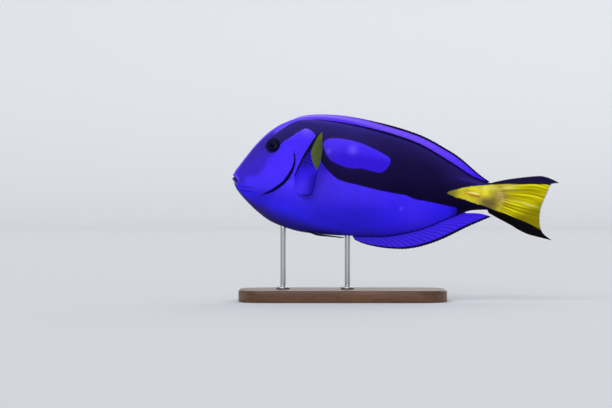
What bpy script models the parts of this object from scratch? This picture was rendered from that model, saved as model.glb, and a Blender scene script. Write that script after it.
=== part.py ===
"""A regal blue tang at life size, swimming with one pectoral fin raised, on a plain display stand.

Lengths are millimetres in the fish's own frame: x runs back from the snout, y to the fish's right
and z up from the underside of the stand. placed() turns them into metres, centred along the fish.
"""

import math

import bmesh
import bpy
import numpy as np
from mathutils import Matrix, Vector

MM = 0.001
SIDES = {"left": -1, "right": 1}

# Driving sizes of the whole
LENGTH = 220.5
MODEL_CENTRE = 110.1
BODY_END = 179.0
GAP = 0.3
TAIL_SWING = 10.0
SWING_START = 90.0

# Stations of the body: distance behind the snout, top line, bottom line, half width
STATIONS = np.array([
    (0.0, 83.6, 83.6, 0.0),
    (0.5, 86.9, 79.7, 2.1),
    (1.5, 88.7, 77.0, 3.3),
    (4.0, 91.9, 73.2, 4.8),
    (9.0, 98.4, 67.5, 6.5),
    (16.0, 106.8, 60.7, 8.6),
    (25.0, 115.2, 54.0, 10.9),
    (34.0, 120.6, 50.1, 12.7),
    (45.0, 124.0, 46.9, 14.1),
    (58.0, 122.9, 45.2, 14.9),
    (75.0, 120.3, 44.1, 14.6),
    (100.0, 114.4, 43.8, 12.8),
    (125.0, 105.9, 48.0, 9.6),
    (150.0, 91.4, 57.6, 5.6),
    (163.0, 83.3, 61.4, 3.9),
    (171.0, 80.4, 61.7, 2.8),
    (BODY_END, 79.4, 59.2, 1.6),
])
RINGS = 40
AROUND = 48
FULLNESS_ABOVE = 2.0
FULLNESS_BELOW = 2.2

# Where the body is parted: the edge of the gill cover (x, z), and the front of the tail stalk
GILL_LINE = (
    (45.0, 132.0), (42.0, 114.0), (41.5, 99.9), (41.9, 95.2), (41.0, 91.0), (38.6, 85.9), (35.0, 80.8),
    (29.8, 76.7), (25.7, 74.1), (21.6, 72.4), (14.8, 66.4), (8.0, 56.0),
)
GILL_STEPS = 30
GILL_RAISE = 0.7
GILL_RAISE_REACH = 9.0
GILL_RAISE_LOW, GILL_RAISE_HIGH = 70.0, 104.0
STALK_START = 151.7

# Eye: place on the flank, in-plane radius, half depth, and how far its centre lies under the skin
EYE_X, EYE_Z = 27.3, 105.5
EYE_RADIUS = 4.9
EYE_HALF_DEPTH = 2.7
EYE_SINK = 1.2
ORBIT_RADIUS = 5.0
ORBIT_TUBE = 0.65

# Mouth, which slants down from the front of the snout, and nostrils
MOUTH_Z, MOUTH_SLOPE = 84.3, -1.2
MOUTH_HALF_WIDTH = 4.2
MOUTH_DEPTH = 3.4
LIP_FRONT = 0.5
LIP_SPACING = 1.5
LIP_TUBE = 1.3
SLIT_HALF_HEIGHT = 0.3
NOSTRILS = ((20.2, 103.0, 0.9), (22.0, 103.8, 0.6))

# Spine of the tail stalk, folded forward in its groove
SPINE_X, SPINE_Z = 161.6, 72.6
SPINE_LENGTH = 11.5
SPINE_HALF_HEIGHT = 1.5
SPINE_HALF_THICKNESS = 0.75
SPINE_TILT = math.radians(12.6)

# Fins: membrane thickness, how deep the roots are sunk, and the number of rays
MEMBRANE = 0.55
ROOT_SINK = 2.0
DORSAL_RAYS, ANAL_RAYS, TAIL_RAYS, PECTORAL_RAYS, PELVIC_RAYS = 29, 22, 18, 16, 4

# Thickness over the rays at the root and at the edge of each fin
DORSAL_RIDGES, ANAL_RIDGES, TAIL_RIDGES = (1.5, 0.9), (1.5, 0.9), (2.6, 0.9)
PECTORAL_RIDGES, PELVIC_RIDGES = (1.2, 0.8), (1.1, 0.8)

# Dorsal fin: span of its roots and of its edge, and the height of the edge over the back (x, height)
DORSAL_ROOT, DORSAL_EDGE = (43.0, 164.0), (47.0, 173.5)
DORSAL_RISE = np.array([
    (45.3, 1.0), (53.0, 2.9), (62.0, 4.1), (70.0, 4.9), (76.0, 5.4), (100.0, 6.4), (123.0, 7.3),
    (143.0, 8.3), (151.0, 8.4), (159.0, 7.0), (167.0, 4.0), (173.5, 0.8),
])

# Anal fin: span of its roots, lower edge from front to tip, and the free rear edge (x, z)
ANAL_ROOT = (79.6, 155.0)
ANAL_EDGE = (
    (82.4, 41.4), (88.5, 38.7), (97.1, 36.6), (105.8, 35.4), (114.4, 35.0), (123.1, 35.9), (131.8, 38.1),
    (140.4, 41.2), (149.0, 45.2), (157.7, 49.6), (166.3, 53.4), (174.9, 57.1),
)
ANAL_REAR = ((158.0, 59.6), (162.0, 59.6), (167.3, 59.2))

# Tail fin: root, then the upper, trailing and lower edges (x, z)
TAIL_ROOT = ((171.6, 79.2), (171.6, 62.6))
TAIL_UPPER = ((178.8, 81.0), (184.8, 82.2), (197.0, 83.8), (207.2, 84.6), (211.5, 83.8), (215.7, 82.2))
TAIL_TRAILING = (
    (LENGTH, 79.7), (215.7, 79.1), (214.2, 77.6), (212.7, 74.0), (210.9, 69.8), (209.0, 65.5), (207.8, 61.3),
    (207.3, 56.4), (207.3, 52.2), (208.2, 48.6), (210.0, 45.5), (215.7, 41.0),
)
TAIL_LOWER = ((176.0, 57.8), (181.8, 54.6), (187.9, 51.3), (193.9, 47.7), (199.9, 45.0), (206.0, 43.4))

# Pectoral fin: root on the flank (x, z), then leading, outer and lower edges (x, y, z)
PECTORAL_ROOT = ((42.4, 84.2), (41.6, 80.0), (40.4, 75.4))
PECTORAL_LEADING = (
    (42.9, 17.3, 88.8), (44.0, 19.6, 93.0), (46.6, 23.6, 98.9), (52.0, 28.6, 107.0), (56.2, 31.4, 111.9),
)
PECTORAL_OUTER = (
    (60.5, 33.0, 113.8), (60.6, 33.2, 104.0), (59.4, 32.2, 94.5), (57.4, 30.8, 87.6), (56.0, 29.4, 82.0),
    (54.6, 27.8, 76.0),
)
PECTORAL_LOWER = ((45.3, 18.5, 72.2), (49.5, 23.0, 70.9), (52.6, 26.0, 71.6), (54.0, 27.1, 73.6))

# Pelvic fin, folded back under the belly: root, outer edge, inner edge and tip (x, y, z)
PELVIC_ROOT = ((47.6, 3.2, 47.9), (52.6, 3.0, 47.3))
PELVIC_OUTER = ((53.0, 5.4, 46.2), (60.0, 6.4, 45.0), (68.0, 6.0, 44.0), (76.0, 4.6, 43.0))
PELVIC_INNER = ((57.0, 2.6, 44.5), (64.0, 2.6, 43.8), (70.0, 3.0, 43.2))
PELVIC_TIP = (73.6, 3.9, 42.8)

# Stand
BASE_LENGTH, BASE_WIDTH, BASE_HEIGHT = 140.0, 76.0, 8.0
BASE_CENTRE_X = 74.0
BASE_CORNER = 20.0
BASE_EDGE = 1.2
ROD_X = {"front": 33.8, "rear": 77.4}
ROD_RADIUS = 1.8
COLLAR_RADIUS, COLLAR_HEIGHT = 4.5, 1.6


def smooth(knots, values, at):
    """Monotone cubic through the values, so that no bulge appears between two knots."""
    knots, values = np.asarray(knots, float), np.asarray(values, float)
    step = np.diff(knots)
    slope = np.diff(values) / step
    tangent = np.zeros(len(knots))
    tangent[0], tangent[-1] = slope[0], slope[-1]
    rising = slope[:-1] * slope[1:] > 0
    total = np.where(rising, slope[:-1] + slope[1:], 1.0)
    tangent[1:-1] = np.where(rising, 2 * slope[:-1] * slope[1:] / total, 0.0)
    at = np.clip(at, knots[0], knots[-1])
    i = np.clip(np.searchsorted(knots, at, side="right") - 1, 0, len(step) - 1)
    t = (at - knots[i]) / step[i]
    near = values[i] * (1 + 2 * t) * (1 - t) ** 2 + tangent[i] * step[i] * t * (1 - t) ** 2
    far = values[i + 1] * t * t * (3 - 2 * t) + tangent[i + 1] * step[i] * t * t * (t - 1)
    return near + far


def path(points, at):
    """A smooth curve through points, read at 0 to 1 of its chord length."""
    points = np.asarray(points, float)
    chords = np.linalg.norm(np.diff(points, axis=0), axis=1)
    knots = np.append(0.0, np.cumsum(chords)) / chords.sum()
    return np.stack([smooth(knots, column, at) for column in points.T], axis=-1)


def section(x):
    """Top line, bottom line and half width of the body at x. The root of x rounds the snout."""
    at = np.sqrt(np.clip(x, 0.0, BODY_END))
    return [smooth(np.sqrt(STATIONS[:, 0]), STATIONS[:, k], at) for k in (1, 2, 3)]


def midline(x):
    """Sideways place of the fish's middle plane: the tail swings to the left along a parabola."""
    reach = np.clip((x - SWING_START) / (LENGTH - SWING_START), 0.0, 1.0)
    return -TAIL_SWING * reach ** 2


def half_width(x, z):
    """Distance from the middle plane to the flank at x, z."""
    top, bottom, width = section(x)
    middle = (top + bottom) / 2
    lift = np.clip((z - middle) / np.maximum(top - middle, 0.01), -1.0, 1.0)
    fullness = np.where(lift > 0, FULLNESS_ABOVE, FULLNESS_BELOW)
    return width * (1 - np.abs(lift) ** fullness) ** (1 / fullness)


def placed(points):
    """Points of the fish's frame in metres, centred between the lips and the tip of the tail."""
    return (np.asarray(points, float) - (MODEL_CENTRE, 0.0, 0.0)) * MM


def linear(colour):
    """The linear value of an sRGB hex colour."""
    parts = [int(colour[k:k + 2], 16) / 255 for k in (0, 2, 4)]
    return [((c + 0.055) / 1.055) ** 2.4 if c > 0.04045 else c / 12.92 for c in parts] + [1.0]


def finish(name, colour, roughness, metallic=0.0):
    material = bpy.data.materials.new(name)
    material.use_nodes = True
    shader = material.node_tree.nodes["Principled BSDF"]
    shader.inputs["Base Color"].default_value = linear(colour)
    shader.inputs["Roughness"].default_value = roughness
    shader.inputs["Metallic"].default_value = metallic
    material.diffuse_color = linear(colour)
    return material


def add_object(name, bm, collection, material=None):
    """Store a bmesh as an object of the collection."""
    mesh = bpy.data.meshes.new(name)
    bm.to_mesh(mesh)
    bm.free()
    obj = bpy.data.objects.new(name, mesh)
    collection.objects.link(obj)
    if material:
        mesh.materials.append(material)
    return obj


def face_outward(bm):
    bm.normal_update()
    bmesh.ops.recalc_face_normals(bm, faces=bm.faces[:])


def add_cutter(name, bm):
    obj = add_object(name, bm, cutters)
    obj.hide_render = True
    obj.display_type = "WIRE"
    return obj


def settle(obj):
    """Make the evaluated shape the object's own triangulated mesh."""
    bpy.context.view_layer.update()
    graph = bpy.context.evaluated_depsgraph_get()
    mesh = bpy.data.meshes.new_from_object(obj.evaluated_get(graph))
    obj.modifiers.clear()
    old, obj.data = obj.data, mesh
    bpy.data.meshes.remove(old)
    bm = bmesh.new()
    bm.from_mesh(mesh)
    bmesh.ops.triangulate(bm, faces=bm.faces[:])
    bm.to_mesh(mesh)
    bm.free()


def combine(obj, others, operation):
    """Join the others to the object, or cut them out of it, and remove them."""
    for other in others:
        modifier = obj.modifiers.new(operation.title(), "BOOLEAN")
        modifier.operation = operation
        modifier.object = other
        settle(obj)
        bpy.data.objects.remove(other)


def shell_volume(shell):
    """Volume inside a closed surface of triangles."""
    corners = [[v.co for v in face.verts] for face in shell]
    return sum(a.cross(b).dot(c) for a, b, c in corners) / 6


def shells(bm):
    """The separate closed surfaces of a mesh, largest first."""
    unseen = set(bm.faces)
    found = []
    while unseen:
        shell, front = [], [unseen.pop()]
        while front:
            face = front.pop()
            shell.append(face)
            beside = {other for edge in face.edges for other in edge.link_faces} & unseen
            unseen -= beside
            front += beside
        found.append(shell)
    return sorted(found, key=shell_volume, reverse=True)


def keep_shell(obj, rank=0):
    """Leave the object only its largest closed surface, or the one of that rank."""
    bm = bmesh.new()
    bm.from_mesh(obj.data)
    kept = set(shells(bm)[rank])
    bmesh.ops.delete(bm, geom=[face for face in bm.faces if face not in kept], context="FACES")
    bm.to_mesh(obj.data)
    bm.free()


def body_mesh(grow=0.0):
    """The whole body from snout to tail base: a sphere drawn out over the stations.

    grow swells it evenly, for the cutter that keeps the fins clear of it.
    """
    bm = bmesh.new()
    bmesh.ops.create_uvsphere(bm, u_segments=AROUND, v_segments=RINGS, radius=1.0)
    ball = np.array([v.co for v in bm.verts])
    along = np.arccos(np.clip(ball[:, 2], -1, 1)) / math.pi
    angle = np.arctan2(ball[:, 1], ball[:, 0])
    share = np.clip(along * RINGS / (RINGS - 1), 0, 1)
    slow_ends = (1 - np.cos(math.pi * share)) / 2
    slow_start = 1 - np.cos(math.pi * share / 2)
    x = BODY_END * (0.3 * slow_ends + 0.7 * slow_start)
    top, bottom, width = section(x)
    out = np.where(np.abs(along - 0.5) > 0.5 - 0.5 / RINGS, 0.0, 1.0)
    middle = (top + bottom) / 2
    lift, side = np.sin(angle) * out, np.cos(angle) * out
    fullness = np.where(lift > 0, FULLNESS_ABOVE, FULLNESS_BELOW)
    lift = np.sign(lift) * np.abs(lift) ** (2 / fullness)
    side = np.sign(side) * np.abs(side) ** (2 / fullness)
    y = midline(x) + side * (width + grow)
    z = middle + lift * ((top - bottom) / 2 + grow)
    x = x + grow * (2 * x / BODY_END - 1)
    for vertex, point in zip(bm.verts, placed(np.stack([x, y, z], axis=-1))):
        vertex.co = point
    face_outward(bm)
    return bm


def flank_frame(x, z, side, sink=0.0):
    """A frame on the flank: its Z points out of the skin, its X backward along it."""
    step = 0.5
    slope_x = (half_width(x + step, z) - half_width(x - step, z)) / (2 * step)
    slope_z = (half_width(x, z + step) - half_width(x, z - step)) / (2 * step)
    drift = (midline(x + step) - midline(x - step)) / (2 * step)
    outward = Vector((-slope_x - side * drift, side, -slope_z)).normalized()
    back = Vector((1, 0, 0))
    back = (back - outward * back.dot(outward)).normalized()
    upward = outward.cross(back)
    point = Vector(placed((x, midline(x) + side * half_width(x, z), z))) - outward * sink * MM
    turn = Matrix((back, upward, outward)).transposed().to_4x4()
    return Matrix.Translation(point) @ turn


def ellipsoid(frame, radii, around=16, rings=12):
    bm = bmesh.new()
    bmesh.ops.create_uvsphere(bm, u_segments=around, v_segments=rings, radius=1.0)
    scale = Matrix.Diagonal((radii[0] * MM, radii[1] * MM, radii[2] * MM, 1.0))
    bmesh.ops.transform(bm, matrix=frame @ scale, verts=bm.verts)
    face_outward(bm)
    return bm


def orbit(side):
    """The raised rim round an eye, a torus half sunk in the skin."""
    bpy.ops.mesh.primitive_torus_add(
        major_radius=ORBIT_RADIUS * MM, minor_radius=ORBIT_TUBE * MM, major_segments=20, minor_segments=6)
    ring = bpy.context.object
    ring.data.transform(flank_frame(EYE_X, EYE_Z, side))
    return ring


def lip(level):
    """One lip: a tapered tube bent round the front of the snout, level 1 above and -1 below."""
    line = bpy.data.curves.new("lip", "CURVE")
    line.dimensions = "3D"
    line.bevel_depth = LIP_TUBE * MM
    line.bevel_resolution = 2
    line.use_fill_caps = True
    spline = line.splines.new("POLY")
    turns = np.linspace(-1.25, 1.25, 13)
    x = LIP_FRONT + LIP_TUBE * 0.35 + MOUTH_DEPTH * (1 - np.cos(turns)) + (level < 0) * 0.4
    y = MOUTH_HALF_WIDTH * np.sin(turns)
    z = MOUTH_Z + level * LIP_SPACING * np.cos(turns * 0.8) + MOUTH_SLOPE * x
    spline.points.add(len(turns) - 1)
    for point, place, turn in zip(spline.points, placed(np.stack([x, y, z], axis=-1)), turns):
        point.co = (*place, 1.0)
        point.radius = 1 - 0.35 * turn ** 2
    curve_object = bpy.data.objects.new("lip_curve", line)
    bpy.context.scene.collection.objects.link(curve_object)
    bpy.context.view_layer.update()
    graph = bpy.context.evaluated_depsgraph_get()
    bm = bmesh.new()
    bm.from_mesh(curve_object.evaluated_get(graph).to_mesh())
    bmesh.ops.remove_doubles(bm, verts=bm.verts[:], dist=0.00001)
    face_outward(bm)
    bpy.data.objects.remove(curve_object)
    return add_cutter("lip", bm)


def mouth_slit():
    frame = Matrix.Translation(Vector(placed((LIP_FRONT, 0.0, MOUTH_Z + MOUTH_SLOPE * LIP_FRONT))))
    tilt = Matrix.Rotation(-math.atan(MOUTH_SLOPE), 4, "Y")
    radii = (MOUTH_DEPTH, MOUTH_HALF_WIDTH, SLIT_HALF_HEIGHT)
    return add_cutter("mouth_slit", ellipsoid(frame @ tilt, radii, 20, 8))


def eye_mesh(side, grow=0.0):
    frame = flank_frame(EYE_X, EYE_Z, side, EYE_SINK)
    return ellipsoid(frame, (EYE_RADIUS + grow, EYE_RADIUS + grow, EYE_HALF_DEPTH + grow), 18, 10)


def spine_mesh(side, grow=0.0):
    """The folded spine: a flattened ellipsoid drawn out to a point at its front."""
    frame = flank_frame(SPINE_X, SPINE_Z, side, 0.15)
    tilt = Matrix.Rotation(side * SPINE_TILT, 4, "Z")
    bm = bmesh.new()
    bmesh.ops.create_uvsphere(bm, u_segments=10, v_segments=10, radius=1.0)
    for vertex in bm.verts:
        along = -vertex.co.z
        taper = 0.62 + 0.38 * along
        vertex.co = (
            along * (SPINE_LENGTH / 2 + grow) * MM,
            vertex.co.x * (SPINE_HALF_HEIGHT * taper + grow) * MM,
            vertex.co.y * (SPINE_HALF_THICKNESS * taper + grow) * MM)
    bmesh.ops.transform(bm, matrix=frame @ tilt, verts=bm.verts)
    face_outward(bm)
    return bm


def wall(line, steps, reach=60.0):
    """A thin upright wall through the fish along a line of (x, z), one gap thick."""
    bm = bmesh.new()
    bmesh.ops.create_grid(bm, x_segments=steps, y_segments=1, size=1.0)
    grid = np.array([v.co for v in bm.verts])
    at = path(line, (grid[:, 0] + 1) / 2)
    points = placed(np.stack([at[:, 0], grid[:, 1] * reach, at[:, 1]], axis=-1))
    for vertex, point in zip(bm.verts, points):
        vertex.co = point
    obj = add_cutter("wall", bm)
    thick = obj.modifiers.new("Solidify", "SOLIDIFY")
    thick.thickness = GAP * MM
    thick.offset = 0.0
    settle(obj)
    return obj


def raise_gill_cover(obj):
    """Lift the rear margin of the gill cover off the trunk, fading forward over the cheek."""
    line = path(GILL_LINE, np.linspace(0, 1, 80))
    line = line[(line[:, 1] > GILL_RAISE_LOW) & (line[:, 1] < GILL_RAISE_HIGH)]
    for vertex in obj.data.vertices:
        x, y, z = np.array(vertex.co) / MM + (MODEL_CENTRE, 0.0, 0.0)
        near = np.hypot(line[:, 0] - x, line[:, 1] - z).min()
        share = max(0.0, 1 - near / GILL_RAISE_REACH) ** 1.6
        outward = y / max(half_width(x, z), 1.0)
        vertex.co.y += GILL_RAISE * share * np.clip(outward, -1, 1) * MM


def parted(obj, wall_object, names):
    """Cut the object with the wall and return its front and rear pieces under new names."""
    combine(obj, [wall_object], "DIFFERENCE")
    halves = []
    for rank in (0, 1):
        half = obj.copy()
        half.data = obj.data.copy()
        parts.objects.link(half)
        keep_shell(half, rank)
        halves.append(half)
    bpy.data.objects.remove(obj)
    halves.sort(key=lambda half: sum(v.co.x for v in half.data.vertices) / len(half.data.vertices))
    for half, name in zip(halves, names):
        half.name = name
        half.data.name = name
    return halves


def make_body():
    """Head, trunk and tail stalk, modelled whole and parted with thin cuts."""
    whole = add_object("whole", body_mesh(), parts)
    combine(whole, [lip(1), lip(-1)] + [orbit(side) for side in SIDES.values()], "UNION")
    cuts = [mouth_slit()]
    for side in SIDES.values():
        cuts.append(add_cutter("socket", eye_mesh(side, GAP)))
        cuts.append(add_cutter("groove", spine_mesh(side, GAP)))
        for x, z, radius in NOSTRILS:
            pit = ellipsoid(flank_frame(x, z, side), (radius, radius, radius), 8, 6)
            cuts.append(add_cutter("nostril", pit))
    combine(whole, cuts, "DIFFERENCE")
    keep_shell(whole)
    head, rest = parted(whole, wall(GILL_LINE, GILL_STEPS), ("head", "rest"))
    raise_gill_cover(head)
    stalk_line = ((STALK_START + 1.0, 130.0), (STALK_START - 1.0, 20.0))
    trunk, stalk = parted(rest, wall(stalk_line, 1), ("trunk", "tail_stalk"))
    for piece, colour, roughness in ((head, "3926CA", 0.4), (trunk, "2B22B4", 0.4), (stalk, "C9BE24", 0.45)):
        piece.data.materials.clear()
        piece.data.materials.append(finish(piece.name, colour, roughness))


def fin(name, borders, rays, rows, ridges, colour, side=0):
    """A fin between four border curves (a Coons patch), with its rays raised on both faces.

    borders are the root, the outer edge, the first ray and the last ray, as lists of x, y, z.
    ridges gives the thickness over the rays at the root and at the edge.
    """
    bm = bmesh.new()
    bmesh.ops.create_grid(bm, x_segments=2 * rays, y_segments=rows, size=1.0)
    grid = (np.array([v.co for v in bm.verts])[:, :2] + 1) / 2
    u, v = grid[:, :1], grid[:, 1:]
    root, edge, first, last = borders
    across = (1 - v) * path(root, grid[:, 0]) + v * path(edge, grid[:, 0])
    outward = (1 - u) * path(first, grid[:, 1]) + u * path(last, grid[:, 1])
    corners = (1 - v) * ((1 - u) * np.array(root[0]) + u * np.array(root[-1]))
    corners += v * ((1 - u) * np.array(edge[0]) + u * np.array(edge[-1]))
    points = across + outward - corners
    points[:, 1] = points[:, 1] * (side or 1) + midline(points[:, 0])
    for vertex, point in zip(bm.verts, placed(points)):
        vertex.co = point
    bmesh.ops.triangulate(bm, faces=bm.faces[:], quad_method="FIXED")
    obj = add_object(name, bm, parts, finish(name, colour, 0.45))
    on_ray = np.round(grid[:, 0] * 2 * rays).astype(int) % 2 == 1
    on_ray |= grid[:, 0] < 1e-6
    thickness = np.where(on_ray, ridges[0] + (ridges[1] - ridges[0]) * grid[:, 1], MEMBRANE)
    group = obj.vertex_groups.new(name="thickness")
    for k, value in enumerate(thickness):
        group.add([k], float(value / max(ridges)), "REPLACE")
    thick = obj.modifiers.new("Solidify", "SOLIDIFY")
    thick.thickness = max(ridges) * MM
    thick.offset = 0.0
    thick.vertex_group = "thickness"
    settle(obj)
    clear_of_body(obj)


def clear_of_body(obj):
    """Cut away what lies inside the body or nearer to it than one gap."""
    combine(obj, [add_cutter("swollen_body", body_mesh(GAP))], "DIFFERENCE")
    keep_shell(obj)


def upright(lines):
    """Lines of points (x, z) in the fish's middle plane, as x, y, z."""
    return [[(x, 0.0, z) for x, z in line] for line in lines]


def make_middle_fins():
    root = [(x, section(x)[0] - ROOT_SINK) for x in np.linspace(*DORSAL_ROOT, 24)]
    edge = [(x, section(x)[0] + smooth(*DORSAL_RISE.T, x)) for x in np.linspace(*DORSAL_EDGE, 24)]
    borders = (root, edge, (root[0], edge[0]), (root[-1], edge[-1]))
    fin("dorsal_fin", upright(borders), DORSAL_RAYS, 3, DORSAL_RIDGES, "6D48FA")

    root = [(x, section(x)[1] + ROOT_SINK) for x in np.linspace(*ANAL_ROOT, 20)]
    borders = (root, ANAL_EDGE, (root[0], ANAL_EDGE[0]), (root[-1], *ANAL_REAR, ANAL_EDGE[-1]))
    fin("anal_fin", upright(borders), ANAL_RAYS, 4, ANAL_RIDGES, "3A22E8")

    upper = (TAIL_ROOT[0], *TAIL_UPPER, TAIL_TRAILING[0])
    lower = (TAIL_ROOT[1], *TAIL_LOWER, TAIL_TRAILING[-1])
    fin("caudal_fin", upright((TAIL_ROOT, TAIL_TRAILING, upper, lower)), TAIL_RAYS, 5, TAIL_RIDGES, "B9AE1C")


def make_paired_fins():
    root = [(x, float(half_width(x, z)) - ROOT_SINK, z) for x, z in PECTORAL_ROOT]
    leading = (root[0], *PECTORAL_LEADING, PECTORAL_OUTER[0])
    lower = (root[-1], *PECTORAL_LOWER, PECTORAL_OUTER[-1])
    borders = (root, PECTORAL_OUTER, leading, lower)
    for name, side in SIDES.items():
        fin(f"pectoral_fin_{name}", borders, PECTORAL_RAYS, 5, PECTORAL_RIDGES, "3720E9", side)

    outer, inner = (PELVIC_ROOT[0], *PELVIC_OUTER), (PELVIC_ROOT[1], *PELVIC_INNER)
    borders = (PELVIC_ROOT, (outer[-1], PELVIC_TIP, inner[-1]), outer, inner)
    for name, side in SIDES.items():
        fin(f"pelvic_fin_{name}", borders, PELVIC_RAYS, 6, PELVIC_RIDGES, "241CB9", side)


def make_eyes_and_spines():
    for name, side in SIDES.items():
        add_object(f"eye_{name}", eye_mesh(side), parts, finish(f"eye_{name}", "100F31", 0.1))
        spine = spine_mesh(side)
        add_object(f"caudal_spine_{name}", spine, parts, finish(f"caudal_spine_{name}", "D4C936", 0.35))


def make_stand():
    bm = bmesh.new()
    bmesh.ops.create_cube(bm, size=1.0)
    centre = placed((BASE_CENTRE_X, 0.0, BASE_HEIGHT / 2))
    size = Matrix.Diagonal((BASE_LENGTH * MM, BASE_WIDTH * MM, BASE_HEIGHT * MM, 1.0))
    bmesh.ops.transform(bm, matrix=Matrix.Translation(centre) @ size, verts=bm.verts)
    corners = [e for e in bm.edges if abs(e.verts[0].co.z - e.verts[1].co.z) > BASE_HEIGHT * MM / 2]
    bmesh.ops.bevel(bm, geom=corners, offset=BASE_CORNER * MM, segments=6, affect="EDGES", profile=0.5)
    upper = [e for e in bm.edges if min(v.co.z for v in e.verts) > (BASE_HEIGHT - 0.01) * MM]
    bmesh.ops.bevel(bm, geom=upper, offset=BASE_EDGE * MM, segments=2, affect="EDGES", profile=0.5)
    add_object("stand_base", bm, parts, finish("stand_base", "5A3B26", 0.4))
    for name, x in ROD_X.items():
        rod(f"stand_rod_{name}", x)


def rod(name, x):
    """A turned steel rod with a collar at its foot, cut to the curve of the belly."""
    foot = BASE_HEIGHT + GAP
    reach = float(section(x)[1]) + 6.0
    profile = ((0.0, reach), (ROD_RADIUS, reach), (ROD_RADIUS, foot + COLLAR_HEIGHT + 0.8),
               (ROD_RADIUS + 0.8, foot + COLLAR_HEIGHT), (COLLAR_RADIUS - 0.4, foot + COLLAR_HEIGHT),
               (COLLAR_RADIUS, foot + COLLAR_HEIGHT - 0.4), (COLLAR_RADIUS, foot), (0.0, foot))
    bm = bmesh.new()
    points = [bm.verts.new(Vector((r, 0.0, z)) * MM) for r, z in profile]
    for a, b in zip(points, points[1:]):
        bm.edges.new((a, b))
    obj = add_object(name, bm, parts, finish(name, "B8BABD", 0.3, 1.0))
    screw = obj.modifiers.new("Screw", "SCREW")
    screw.steps = 20
    screw.render_steps = 20
    screw.use_merge_vertices = True
    screw.merge_threshold = 0.00001
    settle(obj)
    obj.data.transform(Matrix.Translation(placed((x, float(midline(x)), 0.0))))
    clear_of_body(obj)


def smooth_shading():
    for obj in parts.objects:
        obj.data.shade_smooth()
        obj.data.set_sharp_from_angle(angle=math.radians(35))


for old in list(bpy.data.objects):
    bpy.data.objects.remove(old)
parts = bpy.data.collections.new("regal_blue_tang")
cutters = bpy.data.collections.new("cutters")
for collection in (parts, cutters):
    bpy.context.scene.collection.children.link(collection)

make_body()
make_eyes_and_spines()
make_middle_fins()
make_paired_fins()
make_stand()
smooth_shading()
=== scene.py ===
"""Looks of the regal blue tang: one skin with its coat of scales, rayed fins, eyes, spines and stand.

Lengths are millimetres in the fish's own frame, as in the source of its solids: x runs back from the
snout, y to the fish's right and z up from the underside of the stand. placed() turns them into metres.
"""

import math

import bpy
import numpy as np
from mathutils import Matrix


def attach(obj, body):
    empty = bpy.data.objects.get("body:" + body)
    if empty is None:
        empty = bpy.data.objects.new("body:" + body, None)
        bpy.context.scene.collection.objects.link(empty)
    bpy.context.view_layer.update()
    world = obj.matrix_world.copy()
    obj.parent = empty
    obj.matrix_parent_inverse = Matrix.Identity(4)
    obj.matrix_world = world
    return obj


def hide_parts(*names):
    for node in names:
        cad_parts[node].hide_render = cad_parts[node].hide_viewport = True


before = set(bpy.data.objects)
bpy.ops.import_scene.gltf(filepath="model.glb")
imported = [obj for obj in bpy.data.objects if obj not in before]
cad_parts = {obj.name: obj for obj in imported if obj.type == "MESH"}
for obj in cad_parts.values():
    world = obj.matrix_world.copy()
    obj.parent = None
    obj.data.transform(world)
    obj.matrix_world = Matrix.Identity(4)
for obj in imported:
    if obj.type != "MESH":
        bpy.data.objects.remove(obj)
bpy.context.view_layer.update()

MM = 0.001
SIDES = {"left": -1, "right": 1}

# Driving sizes, the same as those of the solids
LENGTH = 220.5
MODEL_CENTRE = 110.1
BODY_END = 179.0
TAIL_SWING = 10.0
SWING_START = 90.0
STATIONS = np.array([
    (0.0, 83.6, 83.6, 0.0),
    (0.5, 86.9, 79.7, 2.1),
    (1.5, 88.7, 77.0, 3.3),
    (4.0, 91.9, 73.2, 4.8),
    (9.0, 98.4, 67.5, 6.5),
    (16.0, 106.8, 60.7, 8.6),
    (25.0, 115.2, 54.0, 10.9),
    (34.0, 120.6, 50.1, 12.7),
    (45.0, 124.0, 46.9, 14.1),
    (58.0, 122.9, 45.2, 14.9),
    (75.0, 120.3, 44.1, 14.6),
    (100.0, 114.4, 43.8, 12.8),
    (125.0, 105.9, 48.0, 9.6),
    (150.0, 91.4, 57.6, 5.6),
    (163.0, 83.3, 61.4, 3.9),
    (171.0, 80.4, 61.7, 2.8),
    (BODY_END, 79.4, 59.2, 1.6),
])
FULLNESS_ABOVE = 2.0
FULLNESS_BELOW = 2.2

# The skin lies inside the solids by the coat's depth and closes inside the root of the tail fin
COAT_DEPTH = 0.15
CLOSE_START, CLOSE_END = 171.0, 188.0
CLOSE_BOW = 4.0
CLOSE_WIDTH = 0.1
SECTION_RATIO = 2.7
RING_SPACING = (
    (0.0, 0.015), (1.0, 0.07), (3.0, 0.13), (7.0, 0.26), (20.0, 0.32), (46.0, 0.34), (60.0, 0.75),
    (188.0, 1.0),
)
AROUND_STEPS = 256

# Edge of the gill cover (x, z), and how far its rear margin stands off the trunk
GILL_LINE = (
    (45.0, 132.0), (42.0, 114.0), (41.5, 99.9), (41.9, 95.2), (41.0, 91.0), (38.6, 85.9), (35.0, 80.8),
    (29.8, 76.7), (25.7, 74.1), (21.6, 72.4), (14.8, 66.4), (8.0, 56.0),
)
GILL_RAISE = 0.7
GILL_REACH = 9.0
GILL_GROOVE = 1.2
GILL_LOW, GILL_HIGH = 72.0, 101.0
GILL_HALF_WIDTH = (
    (72.0, 0.4), (74.0, 0.75), (76.7, 0.95), (81.0, 0.95), (86.0, 0.85), (90.0, 0.7), (94.0, 0.5),
    (100.0, 0.25),
)

EYE_X, EYE_Z = 27.3, 105.5
EYE_RADIUS = 4.9
EYE_HALF_DEPTH = 2.7
EYE_SINK = 1.2
SOCKET_DEPTH = 2.6
LID_RADIUS = 4.65
LID_RISE, LID_WIDTH = 0.35, 0.5

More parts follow.
